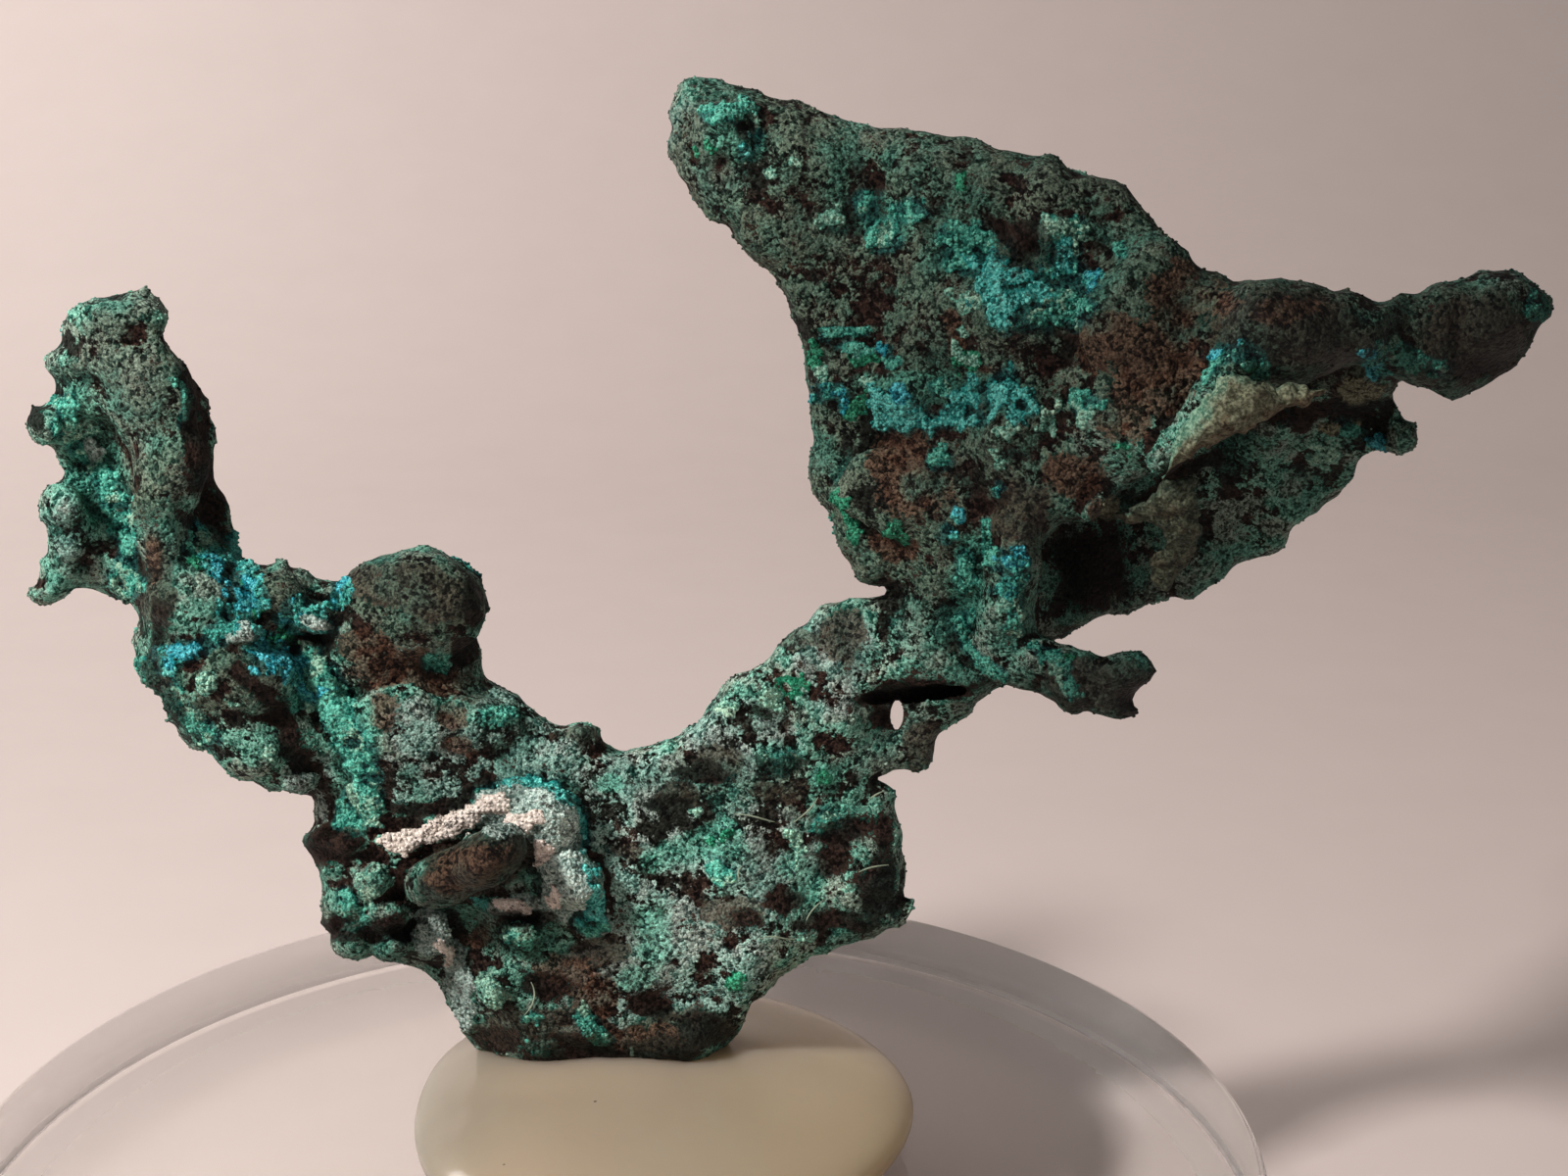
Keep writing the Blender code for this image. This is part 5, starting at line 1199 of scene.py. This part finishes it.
# %% Grain shape
G = (1 + 5**0.5) / 2  # the golden ratio, which gives the corners of a body of twenty faces
LUMP = np.array([
    (-1, G, 0), (1, G, 0), (-1, -G, 0), (1, -G, 0), (0, -1, G), (0, 1, G),
    (0, -1, -G), (0, 1, -G), (G, 0, -1), (G, 0, 1), (-G, 0, -1), (-G, 0, 1),
])
LUMP = LUMP / np.linalg.norm(LUMP[0])
LUMP_FACES = np.array([
    (0, 11, 5), (0, 5, 1), (0, 1, 7), (0, 7, 10), (0, 10, 11), (1, 5, 9), (5, 11, 4), (11, 10, 2),
    (10, 7, 6), (7, 1, 8), (3, 9, 4), (3, 4, 2), (3, 2, 6), (3, 6, 8), (3, 8, 9), (4, 9, 5),
    (2, 4, 11), (6, 2, 10), (8, 6, 7), (9, 8, 1),
])
print("a grain has", len(LUMP), "corners and", len(LUMP_FACES), "faces")

# %% Grains
CORNER_SHIFT, STRETCH, PLACE_SHIFT = 0.16, 0.2, 0.02
SUNK = 0.4  # how far a grain's centre lies under the skin, in radii


def grain_piece(name, weight, count, small, large, seed):
    """Lumps at vertices drawn by weight. A lump's radius is between small and large. Its corners
    are moved in or out by a share of it, and it is stretched along each axis. Its centre lies SUNK
    radii under the surface."""
    random = np.random.default_rng(seed)
    chosen = random.choice(len(copper_points), count, replace=False, p=weight / weight.sum())
    radius = small + (large - small) * random.random(count) ** 2
    shape = LUMP[None] * (1 + random.uniform(-CORNER_SHIFT, CORNER_SHIFT, (count, 12, 1)))
    shape = shape * random.uniform(1 - STRETCH, 1 + STRETCH, (count, 1, 3))
    jitter = random.uniform(-PLACE_SHIFT, PLACE_SHIFT, (count, 3))
    centre = copper_points[chosen] - copper_normals[chosen] * radius[:, None] * SUNK + jitter
    points = (centre[:, None] + shape * radius[:, None, None]).reshape(-1, 3)
    faces = (LUMP_FACES[None] + 12 * np.arange(count)[:, None, None]).reshape(-1, 3)
    values = {kind: np.repeat(mask[chosen], 12) for kind, mask in masks.items()}
    values["grain"] = np.repeat(random.uniform(-1.0, 1.0, count), 12)
    values["proud"] = np.repeat(random.uniform(0.4, 1.0, count), 12)
    made = mesh_piece(name, placed(points), faces.tolist(), values)
    side = int(np.ceil(count**0.5))
    slot = np.stack([np.arange(count) % side, np.arange(count) // side], axis=1)
    spot = (slot[:, None] + 0.5 + 0.4 * LUMP[None, :, :2]) / side
    layer = made.data.uv_layers.new(name="OFBake")
    layer.uv.foreach_set("vector", spot.reshape(-1, 2)[faces].astype(np.float32).ravel())
    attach(made, "root")
    print(name, len(faces), "faces")
    return made


PUTTY_LINE = (10.6, 11.4)  # no grains below, all above
HARDLY = 1e-6  # a weight that leaves every vertex a little chance
clear_of_putty = smooth_step(copper_points[:, 2], *PUTTY_LINE)
crowded = (crust**2 * (0.3 + proud_share) + HARDLY) * clear_of_putty
bright_grains = grain_piece("bright_grains", crowded, count=9000, small=0.06, large=0.14, seed=71)
strewn = (1 - crust) * (1 - 0.7 * np.clip(masks["brown"], 0, 1)) * (0.15 + proud_share)
strewn = (strewn * (1 - 0.8 * masks["dark"]) + HARDLY) * clear_of_putty
grey_grains = grain_piece("grey_grains", strewn, count=8000, small=0.05, large=0.10, seed=72)

# %% [markdown]
# ## Writing shaders as sums
#
# A node tree for stone is mostly arithmetic. This class wraps a socket, so that an expression
# such as 1 - mask * 0.5 adds its Math nodes by itself.

# %% Shader helper
class Dial:
    """A socket that carries one number over the surface."""

    def __init__(self, recipe, socket):
        self.recipe, self.socket = recipe, socket

    def beside(self, label):
        """Another output of the same node."""
        return Dial(self.recipe, self.socket.node.outputs[label])

    def _math(self, operation, first, second):
        return self.recipe.add("ShaderNodeMath", {"operation": operation}, {0: first, 1: second})

    def __add__(self, other):
        return self._math("ADD", self, other)

    def __radd__(self, other):
        return self._math("ADD", other, self)

    def __sub__(self, other):
        return self._math("SUBTRACT", self, other)

    def __rsub__(self, other):
        return self._math("SUBTRACT", other, self)

    def __mul__(self, other):
        return self._math("MULTIPLY", self, other)

    def __rmul__(self, other):
        return self._math("MULTIPLY", other, self)


class Recipe:
    """A material and its nodes."""

    def __init__(self, name):
        self.material = bpy.data.materials.new(name)
        self.material.use_nodes = True
        self.tree = self.material.node_tree
        self.surface = self.tree.nodes["Principled BSDF"]
        self.place = self.add("ShaderNodeTexCoord", out="Object")

    def feed(self, socket, value):
        """Links a Dial, or sets a plain value."""
        if isinstance(value, Dial):
            self.tree.links.new(value.socket, socket)
        else:
            socket.default_value = value

    def add(self, kind, settings=None, sockets=None, out=0):
        """A node of the given type: settings first, then the values or links of its sockets."""
        node = self.tree.nodes.new(kind)
        for label, value in (settings or {}).items():
            setattr(node, label, value)
        for label, value in (sockets or {}).items():
            self.feed(node.inputs[label], value)
        return Dial(self, node.outputs[out])

    def shifted(self, far):
        """Object coordinates moved by far units, for a noise that differs from another."""
        return self.add("ShaderNodeMapping", {}, {"Vector": self.place, "Location": (far, far, far)})

    def noise(self, size, detail=3.0, roughness=0.55, place=None):
        """Noise from 0 to 1 whose features are about size millimetres."""
        values = {"Vector": place or self.place, "Scale": 1.0 / (size * MM)}
        values.update({"Detail": detail, "Roughness": roughness})
        return self.add("ShaderNodeTexNoise", {}, values)

    def grains(self, size, feature="F1"):
        """Distance to the nearest of points that lie about size millimetres apart."""
        return self.add("ShaderNodeTexVoronoi", {"feature": feature},
                        {"Vector": self.place, "Scale": 1.0 / (size * MM)})

    def step(self, value, low, high):
        """0 below low, 1 above high, smooth between."""
        return self.add("ShaderNodeMapRange", {"interpolation_type": "SMOOTHSTEP"},
                        {"Value": value, "From Min": low, "From Max": high})

    def mask(self, label):
        """The number that the mesh carries under this name."""
        return self.add("ShaderNodeAttribute", {"attribute_name": label}, out="Fac")

    def mix(self, share, first, second, blend="MIX"):
        """Colour first where share is 0 and second where it is 1."""
        return self.add("ShaderNodeMix", {"data_type": "RGBA", "blend_type": blend},
                        {0: share, 6: first, 7: second}, out=2)

    def finish(self, piece, **sockets):
        """Feeds the surface's sockets and gives the material to the piece."""
        for label, value in sockets.items():
            self.feed(self.surface.inputs[label.replace("_", " ")], value)
        piece.data.materials.clear()
        piece.data.materials.append(self.material)
        print(self.material.name, "has", len(self.tree.nodes), "nodes")


def tint(red, green, blue):
    """A colour given in screen values from 0 to 255, as the linear values that shaders use:
    ((c / 255 + 0.055) / 1.055) to the power 2.4, and a straight line for the darkest values."""
    linear = [((c / 255 + 0.055) / 1.055) ** 2.4 if c > 10 else c / 255 / 12.92 for c in (red, green, blue)]
    return (*linear, 1.0)


print("a mid grey of 128 is", round(tint(128, 128, 128)[0], 3), "in linear light")


# %% [markdown]
# ## The copper's skin
#
# From the inside out: dark oxide, a speckled film of grey and green over it, bare brown and red
# places, and the bright crusts. Each mask is broken up by fine noise before it is used, which
# turns a soft stain into a crust with a grainy edge.

# %% Copper patterns
skin = Recipe("weathered_copper")
specks, broad = skin.noise(0.085, 1), skin.noise(3.0, 2)
fine, mottle = skin.noise(0.45, 5, 0.74), skin.noise(1.4, 6, 0.70, place=skin.shifted(31))
drift = skin.noise(1.3, 3, place=skin.shifted(7))
far_drift = skin.noise(2.2, 2, place=skin.shifted(19))
pebbles = skin.grains(0.15)
pebble_tone = skin.add("ShaderNodeSeparateColor", {}, {"Color": pebbles.beside("Color")})
grain, proud, hollow = skin.mask("grain"), skin.mask("proud"), skin.mask("hollow")
tone = pebble_tone * 0.22 + specks * 0.22 + fine * 0.40 + mottle * 0.16 + grain * 0.08
break_up = pebble_tone * 0.10 + specks * 0.18 + fine * 0.36 + mottle * 0.36 - 0.5


def level(label, amount=2.2):
    """The mask with fine noise added, so that a threshold cuts it into grains."""
    return skin.mask(label) + break_up * amount


def patch(label, amount=2.4, low=0.40, high=0.58):
    """1 inside the mask's grains, 0 outside."""
    return skin.step(level(label, amount), low, high)


def shades(dark, light, low=0.38, high=0.62):
    """A colour that goes from dark to light with the grains' tone."""
    return skin.mix(skin.step(tone, low, high), tint(*dark), tint(*light))


def dots(size, share, radius):
    """1 in small round dots about size millimetres apart, at a share of the places."""
    cells = skin.grains(size)
    chance = skin.add("ShaderNodeSeparateColor", {}, {"Color": cells.beside("Color")})
    return (1 - skin.step(cells, radius * 0.6, radius)) * skin.step(chance, 1 - share, 1.02 - share)


print("patterns:", len(skin.tree.nodes), "nodes")

# %% [markdown]
# ### Oxide, film and stains
#
# Dark oxide covers the metal, black in some places and brown in others. Over it lies a thin film
# of grey and green that fails to cover it in hollows and on bare places. Stains lie on both.

# %% Oxide and film
black, brown = shades((6, 8, 7), (42, 45, 39)), shades((15, 9, 8), (64, 46, 39))
oxide = skin.mix(skin.step(broad, 0.38, 0.54), black, brown)
film = shades((48, 62, 54), (142, 162, 146))
film = skin.mix(skin.step(drift, 0.42, 0.56), film, shades((32, 84, 71), (120, 174, 154)))
film = skin.mix(patch("lilac", 2.0, 0.3, 0.7) * 0.4, film, shades((68, 82, 82), (166, 174, 172)))
film = skin.mix(patch("olive", 1.6, 0.3, 0.8) * 0.8, film, shades((24, 33, 27), (90, 100, 83)))
cover = break_up * 2.4 + (mottle - 0.5) * 2.0 + (broad - 0.5) * 1.2 + (proud - 0.25) * 0.5
cover = skin.step(cover + grain * 0.2 - hollow * 0.9, -0.32, -0.14)
# the dark patches: black oxide, and painted shade in the pocket, creases and the arm's right side
oxide_and_painted_shade = patch("dark", 6.0)
cover = cover * (1 - oxide_and_painted_shade) * (1 - patch("brown", 3.2) * 0.7) * (1 - patch("red", 3.2) * 0.6)
colour = skin.mix(cover, oxide, film)
colour = skin.mix(patch("brown", 3.0) * 0.5, colour, shades((22, 21, 17), (86, 82, 67)))
colour = skin.mix(patch("red", 3.2) * 0.6, colour, shades((36, 22, 17), (112, 80, 62)))
haze = skin.step(far_drift + break_up * 0.7, 0.52, 0.70) * (1 - oxide_and_painted_shade) * (1 - patch("brown") * 0.6)
colour = skin.mix(haze * 0.5, colour, shades((10, 54, 48), (62, 134, 118)))
colour = skin.mix(patch("bloom", 2.6, 0.4, 1.1) * 0.6, colour, shades((12, 70, 60), (100, 184, 160)))
halo = skin.step(level("halo", 1.6), 0.20, 0.75)
colour = skin.mix(halo * 0.75, colour, shades((5, 40, 42), (34, 104, 98)))
print("oxide, film and stains:", len(skin.tree.nodes), "nodes so far")

# %% [markdown]
# ### Crusts
#
# Every crust has three tints: for the bottom of its grains, for their middle and for their tops.
# The teal and mint ones turn cream in places, and the blue one turns green.

# %% Crust colours
cream = skin.step(drift + break_up * 0.4, 0.55, 0.63)
CRUSTS = (
    ("tan", (50, 52, 42), (104, 106, 86), (140, 142, 116)),
    ("green", (8, 56, 42), (24, 98, 72), (66, 150, 116)),
    ("teal", (12, 62, 54), (42, 118, 104), (100, 180, 158)),
    ("mint", (40, 88, 74), (92, 150, 132), (158, 200, 176)),
    ("turquoise", (8, 70, 70), (40, 134, 128), (108, 198, 186)),
    ("blue", (8, 66, 76), (26, 124, 138), (96, 200, 208)),
    ("pale", (66, 94, 88), (122, 148, 140), (182, 198, 188)),
    ("white", (150, 136, 124), (200, 186, 174), (234, 222, 212)),
)
for label, edge_tint, middle_tint, core_tint in CRUSTS:
    build_up = level(label, 0.5) * 0.4 + tone * 1.2 + proud * 0.10 - 0.42
    crumbs = skin.mix(skin.step(build_up, 0.12, 0.42), tint(*edge_tint), tint(*middle_tint))
    crumbs = skin.mix(skin.step(build_up, 0.44, 0.80), crumbs, tint(*core_tint))
    if label == "blue":
        greener = skin.step(drift + break_up * 0.6, 0.46, 0.56)
        crumbs = skin.mix(greener, crumbs, shades((10, 74, 68), (84, 180, 164)))
    if label in ("teal", "mint"):
        crumbs = skin.mix(cream * 0.6, crumbs, shades((80, 108, 92), (172, 196, 170)))
    colour = skin.mix(patch(label, 1.6, 0.45, 0.58), colour, crumbs)
# the dark patches' colour, which is partly painted shade
cold, warm = shades((6, 10, 8), (30, 38, 33)), shades((10, 7, 6), (44, 33, 28))
murk = skin.mix(skin.step(broad, 0.42, 0.54), cold, warm)
colour = skin.mix(oxide_and_painted_shade * 0.85, colour, murk)
print("with the crusts:", len(skin.tree.nodes), "nodes")

# %% [markdown]
# ### Specks, painted shade and gloss
#
# The colour is darkened last: in specks, in tiny round pits and in the darkest grains, and by
# painted shade in hollows. The listed painted light and shade then lightens or darkens it by
# region. The white chalk crust is spared much of this darkening.

# %% Specks, painted shade and gloss
pits = dots(0.34, 0.45, 0.34) * 0.75
shade = (0.70 + skin.step(specks, 0.40, 0.60) * 0.56) * (1 - pits)
# painted shade in hollows, then the painted light and shade listed by region
shade = shade * (1 - skin.step(1 - tone, 0.50, 0.66) * 0.5) * (1 - hollow * 0.6) * skin.mask("painted_light_and_shade")
chalky = patch("white", 1.2) * 0.6
shade = shade * (1 - chalky) + chalky
grey = skin.add("ShaderNodeCombineColor", {}, {"Red": shade, "Green": shade, "Blue": shade})
colour = skin.mix(1.0, colour, grey, "MULTIPLY")
height = (1 - pebbles) * 0.45 + fine * 0.5 + cover * 0.15 - pits * 0.5
bump = skin.add("ShaderNodeBump", {}, {"Height": height, "Distance": 0.14 * MM, "Strength": 1.0})
roughness = 0.9 - patch("brown", 1.6) * 0.25
skin.finish(copper, Base_Color=colour, Roughness=roughness, Normal=bump, Specular_IOR_Level=0.3)
for piece in (bright_grains, grey_grains):
    piece.data.materials.append(skin.material)

# %% [markdown]
# ## The flakes' skin
#
# The blade is cream, mint green towards its upper end, and stained with earth. The hook is the
# same crust under a dull grey film. Two attributes tell how far along and how far across a flake
# a point lies.

# %% Flake material
chalk = Recipe("lifted_crust")
chalk_fine, chalk_wide = chalk.noise(0.3, 6, 0.7), chalk.noise(1.1, 6, 0.65)
chalk_speck = chalk.noise(0.1, 1)
length, across, dull = chalk.mask("length"), chalk.mask("across"), chalk.mask("dull")
chalk_light = chalk.step(chalk_fine * 0.6 + chalk_speck * 0.4, 0.40, 0.62)
cream_shade = chalk.mix(chalk_light, tint(78, 80, 62), tint(158, 162, 134))
mint_shade = chalk.mix(chalk_light, tint(70, 118, 98), tint(158, 196, 168))
earth_shade = chalk.mix(chalk_light, tint(52, 40, 30), tint(122, 104, 80))
grey_shade = chalk.mix(chalk_light, tint(30, 36, 30), tint(92, 98, 80))
mint_share = 1 - chalk.step(across * 1.2 + length * 0.9 + (chalk_wide - 0.5) * 1.6, 0.35, 0.95)
earth_share = chalk.step((chalk_wide - 0.5) * 2.4 + across * 0.8 + length * 0.3, 0.62, 0.95) * 0.8
chalk_colour = chalk.mix(mint_share, cream_shade, mint_shade)
chalk_colour = chalk.mix(earth_share, chalk_colour, earth_shade)
grey_share = dull * (0.95 - chalk.step(chalk_wide, 0.5, 0.6) * 0.35)
chalk_colour = chalk.mix(grey_share, chalk_colour, grey_shade)
chalk_colour = chalk.mix(1.0, chalk_colour, tint(205, 205, 205), "MULTIPLY")
relief_node = {"Height": chalk_fine, "Distance": 0.15 * MM, "Strength": 0.9}
chalk_bump = chalk.add("ShaderNodeBump", {}, relief_node)
dryness = 0.82 + chalk_speck * 0.15
chalk.finish(blade, Base_Color=chalk_colour, Roughness=dryness, Normal=chalk_bump, Specular_IOR_Level=0.3)
hook.data.materials.append(chalk.material)

# %% [markdown]
# ## The fibres' skin
#
# Pale lint, darker in places where it is dirty.

# %% Fibre material
lint = Recipe("pale_fibre")
lint_tone = lint.noise(0.2, 3)
lint_colour = lint.mix(lint_tone, tint(96, 112, 92), tint(176, 188, 164))
lint.finish(fibres, Base_Color=lint_colour, Roughness=0.7 + lint_tone * 0.2)

# %% [markdown]
# ## The putty
#
# A pad of soft, milky putty was pressed on the base and the copper was pushed into it. It is a
# flattened ball: smooth, a little lopsided, drawn up where it touches the copper.

# %% Putty
PUTTY_CENTRE = (1.9, -1.2, 9.9)
PUTTY_HALVES = (9.6, 10.2, 1.85)
PUTTY_BELOW = 3.4  # half height under its widest line
PUTTY_ROUND, PUTTY_RISE = 200, 90  # points round it and from pole to pole
BASE_TOP = 8.0
SEAT = 0.01  # the pad's flat underside lies this far over the base
DRAWN_UP = 0.3  # how far the putty is drawn up round the copper's foot


def putty_surface(around, rise):
    """A ball's points by longitude and latitude, stretched to the pad's half sizes, with slow
    swellings, and flattened where it would go under the base's top. Round the copper's foot it is
    raised by exp(-x⁴ - y⁴), with x and y counted in the foot's half sizes."""
    outward = np.cos(rise)
    unit = np.stack([outward * np.cos(around), outward * np.sin(around), np.sin(rise)], axis=-1)
    wobble = 0.02 * np.sin(3 * around + 0.6) * outward + 0.012 * np.sin(5 * around + 2.0) * outward
    unit[..., 2] *= np.where(rise < 0, PUTTY_BELOW / PUTTY_HALVES[2], 1.0)
    points = np.array(PUTTY_CENTRE) + unit * np.array(PUTTY_HALVES) * (1 + wobble)[..., None]
    foot = np.exp(-(((points[..., 0] + 0.6) / 6.4) ** 4) - ((points[..., 1] / 2.9) ** 4))
    points[..., 2] += np.where(points[..., 2] > PUTTY_CENTRE[2], DRAWN_UP * foot, 0.0)
    points[..., 2] = np.maximum(points[..., 2], BASE_TOP + SEAT)
    return points


def closed_ball(grid):
    """Points and faces of a ball's grid, with each pole's row made one point."""
    number = np.arange(grid.shape[0] * grid.shape[1]).reshape(grid.shape[:2])
    ring = np.roll(number, -1, axis=0)
    near, far = (number[:, 1:-2], ring[:, 1:-2]), (ring[:, 2:-1], number[:, 2:-1])
    quads = np.stack([*near, *far], axis=-1).reshape(-1, 4)
    south = np.stack([number[:, 0] * 0 + number[0, 0], ring[:, 1], number[:, 1]], axis=-1)
    north = np.stack([number[:, 0] * 0 + number[0, -1], number[:, -2], ring[:, -2]], axis=-1)
    used = np.unique(np.concatenate([quads.ravel(), south.ravel(), north.ravel()]))
    renumber = np.full(number.size, -1)
    renumber[used] = np.arange(len(used))
    faces = [renumber[face].tolist() for face in (*quads, *south, *north)]
    return grid.reshape(-1, 3)[used], faces


around = np.linspace(0, 2 * np.pi, PUTTY_ROUND, endpoint=False)
rise = np.linspace(-np.pi / 2, np.pi / 2, PUTTY_RISE)
around, rise = np.meshgrid(around, rise, indexing="ij")
putty = mesh_piece("putty_pad", *closed_ball(putty_surface(around, rise)))
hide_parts("mounting_putty")
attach(putty, "root")
print("putty:", len(putty.data.polygons), "faces")

# %% [markdown]
# ## The putty's skin
#
# Light goes a few millimetres into it and comes out again, which is what makes it look milky. It
# is greyer on its left, a little yellow on its right, and has caught some dark dust.

# %% Putty material
milk = Recipe("putty")
cloud = milk.noise(9.0, 2)
sideways = milk.add("ShaderNodeSeparateXYZ", {}, {"Vector": milk.place}, out="X")
leftmost = milk.step(sideways, -9 * MM, -2 * MM)
milk_colour = milk.mix(leftmost, tint(120, 117, 108), tint(159, 143, 123))
milk_colour = milk.mix(milk.step(sideways, 2 * MM, 10 * MM), milk_colour, tint(168, 151, 125))
milk_colour = milk.mix((cloud - 0.4) * 0.4, milk_colour, tint(170, 158, 140))
dust = 1 - milk.step(milk.grains(1.5), 0.030, 0.055)
dust = dust * milk.step(milk.noise(2.0, 1), 0.5, 0.55) * 0.8
milk_colour = milk.mix(dust, milk_colour, tint(60, 48, 38))
finger_marks = {"Height": milk.noise(2.2, 2), "Distance": 0.08 * MM, "Strength": 0.5}
milk_bump = milk.add("ShaderNodeBump", {}, finger_marks)
depth_of_light = {"Subsurface_Radius": (1.0, 0.9, 0.7), "Subsurface_Scale": 5 * MM, "IOR": 1.42}
milk.finish(putty, Base_Color=milk_colour, Roughness=0.14 + cloud * 0.08, Normal=milk_bump,
            Subsurface_Weight=1.0, **depth_of_light)

# %% [markdown]
# ## The base
#
# A polished disc of clear acrylic. It is a profile turned about the upright axis, with its two
# rims rounded by a fraction of a millimetre, which is what catches the light.

# %% Base
BASE_RADIUS = 25.4
BASE_RIM = 0.35  # radius of its rounded rims
BASE_TURNS = 288
EASE = 0.05  # flats and rims are parted by this much, so that the shading stays flat


def turned(profile, turns):
    """Points and faces of a closed profile of (radius, height), carried round the axis."""
    angle = np.linspace(0, 2 * np.pi, turns, endpoint=False)[:, None]
    radius, height = np.array(profile).T
    ring = np.stack([radius * np.cos(angle), radius * np.sin(angle), height + 0 * angle], axis=-1)
    count = len(profile)
    here = np.arange(turns)[:, None] * count + np.arange(count - 1)
    there = np.roll(here, -1, axis=0)
    quads = np.stack([here, there, there + 1, here + 1], axis=-1).reshape(-1, 4)
    points = ring.reshape(-1, 3)
    bottom, top = len(points), len(points) + 1
    points = np.vstack([points, [[0, 0, height[0]], [0, 0, height[-1]]]])
    first, last = np.arange(turns) * count, np.arange(turns) * count + count - 1
    fans = [[bottom, b, a] for a, b in zip(first, np.roll(first, -1))]
    fans += [[top, a, b] for a, b in zip(last, np.roll(last, -1))]
    return points, [*quads.tolist(), *([int(n) for n in fan] for fan in fans)]


def rim(centre_radius, centre_height, start, end, steps=5):
    """A quarter circle of the rim's radius, as profile points."""
    turn = np.radians(np.linspace(start, end, steps))
    out, up = centre_radius + BASE_RIM * np.cos(turn), centre_height + BASE_RIM * np.sin(turn)
    return list(zip(out.tolist(), up.tolist()))


inner = BASE_RADIUS - BASE_RIM
profile = [(inner * 0.5, 0.0), (inner - EASE, 0.0)]
profile += [*rim(inner, BASE_RIM, -90, 0), (BASE_RADIUS, BASE_RIM + EASE)]
profile += [(BASE_RADIUS, BASE_TOP - BASE_RIM - EASE), *rim(inner, BASE_TOP - BASE_RIM, 0, 90)]
profile += [(inner - EASE, BASE_TOP), (inner * 0.5, BASE_TOP)]
disc_points, disc_faces = turned(profile, BASE_TURNS)
out_from_axis = np.hypot(disc_points[:, 0], disc_points[:, 1])
ground = smooth_step(-disc_points[:, 2], -0.5, -0.3) * smooth_step(out_from_axis, inner - 0.1, inner)
disc = mesh_piece("acrylic_disc", disc_points, disc_faces, {"ground": ground})
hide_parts("display_base")
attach(disc, "root")
print("disc:", len(disc_faces), "faces, lower rim ground over", int((ground > 0).sum()), "points")

# %% [markdown]
# ## Clear acrylic
#
# Plain transmission with the refractive index of acrylic. The polish is a little smeared, and
# the lower rim was left as it was ground.

# %% Acrylic material
clear = Recipe("clear_acrylic")
smear = clear.step(clear.noise(6.0, 4), 0.5, 0.7)
polish = 0.004 + smear * 0.02 + clear.mask("ground") * 0.6
faint_tint = (0.985, 0.985, 0.975, 1.0)
clear.finish(disc, Base_Color=faint_tint, Roughness=polish, IOR=1.49, Transmission_Weight=1.0)

# %% [markdown]
# ## The paper
#
# A sheet of warm grey paper: flat under the specimen, then curved up behind it, so there is no
# horizon.

# %% Paper
PAPER_HALF = 900.0  # half its width
PAPER_FRONT = -400.0
BEND_START, BEND_RADIUS = 150.0, 180.0
PAPER_TOP = 900.0
PAPER_DROP = 0.05  # it lies this far under the base


def paper_sweep(width, front, bend_at, bend, top, steps=24):
    """A profile carried along X: flat, then a quarter circle, then upright."""
    turn = np.linspace(0, np.pi / 2, steps)
    depth = np.concatenate([[front], bend_at + bend * np.sin(turn), [bend_at + bend]])
    height = np.concatenate([[0.0], bend - bend * np.cos(turn), [top]])
    left = np.stack([0 * depth - width, depth, height], axis=1)
    right = left * (-1, 1, 1)
    count = len(depth)
    faces = [[n, n + count, n + count + 1, n + 1] for n in range(count - 1)]
    return np.vstack([left, right]), faces


sweep_points, sweep_faces = paper_sweep(PAPER_HALF, PAPER_FRONT, BEND_START, BEND_RADIUS, PAPER_TOP)
paper = mesh_piece("paper_sweep", sweep_points - (0, 0, PAPER_DROP), sweep_faces)
sheet_recipe = Recipe("warm_paper")
cloudiness = sheet_recipe.noise(7.0, 3)
sheet_colour = sheet_recipe.mix(cloudiness, tint(203, 189, 183), tint(208, 194, 188))
sheet_recipe.finish(paper, Base_Color=sheet_colour, Roughness=0.9)

# %% [markdown]
# ## The lamps
#
# A small square lamp at the upper left models the copper and throws its shadow to the right. A
# clear disc lets nearly all light through, so it is left out of what blocks this lamp, and the
# lamp isn't seen in it. A weak lamp beside it draws the highlights on the disc and the putty. A
# large one fills from the right, and one lights the paper behind. The room gives the rest.

# %% Lamps
def lamp(name, place, aim, size, power, colour):
    """A square area lamp at place, turned to aim. Its side is size, its power is in watts. It is
    turned about X by the angle between straight down and the aim, then about Z to the aim."""
    data = bpy.data.lights.new(name, "AREA")
    data.size, data.energy, data.color = size * MM, power, colour
    made = bpy.data.objects.new(name, data)
    made.location = np.array(place) * MM
    way = np.array(aim) - np.array(place)
    lean = math.atan2(math.hypot(way[0], way[1]), -way[2])
    made.rotation_euler = (lean, 0.0, math.atan2(way[0], -way[1]) + math.pi)
    bpy.context.scene.collection.objects.link(made)
    return made


key = lamp("key", (-94, -78, 124), (0, 0, 22), 18, 0.37, (1.0, 0.97, 0.95))
lamp("window", (-87, -26, 140), (0, -8, 12), 14, 0.012, (1.0, 0.98, 0.96))
shadow_casters = bpy.data.collections.new("casts_shadow")
for piece in (copper, bright_grains, grey_grains, blade, hook, fibres, putty):
    shadow_casters.objects.link(piece)
key.light_linking.blocker_collection = shadow_casters
key.visible_transmission = False
key.visible_glossy = False
lamp("fill", (160, -200, 120), (5, 0, 25), 160, 0.03, (1.0, 0.94, 0.91))
lamp("paper_lamp", (-190, 120, 210), (-60, 330, 40), 120, 0.62, (1.0, 0.965, 0.95))
ROOM_LIGHT, ROOM_STRENGTH = (1.0, 0.965, 0.95, 1.0), 0.17
world = bpy.data.worlds.new("room")
world.use_nodes = True
background = world.node_tree.nodes["Background"]
background.inputs["Color"].default_value = ROOM_LIGHT
background.inputs["Strength"].default_value = ROOM_STRENGTH
bpy.context.scene.world = world
bpy.context.scene.view_settings.view_transform = "Standard"
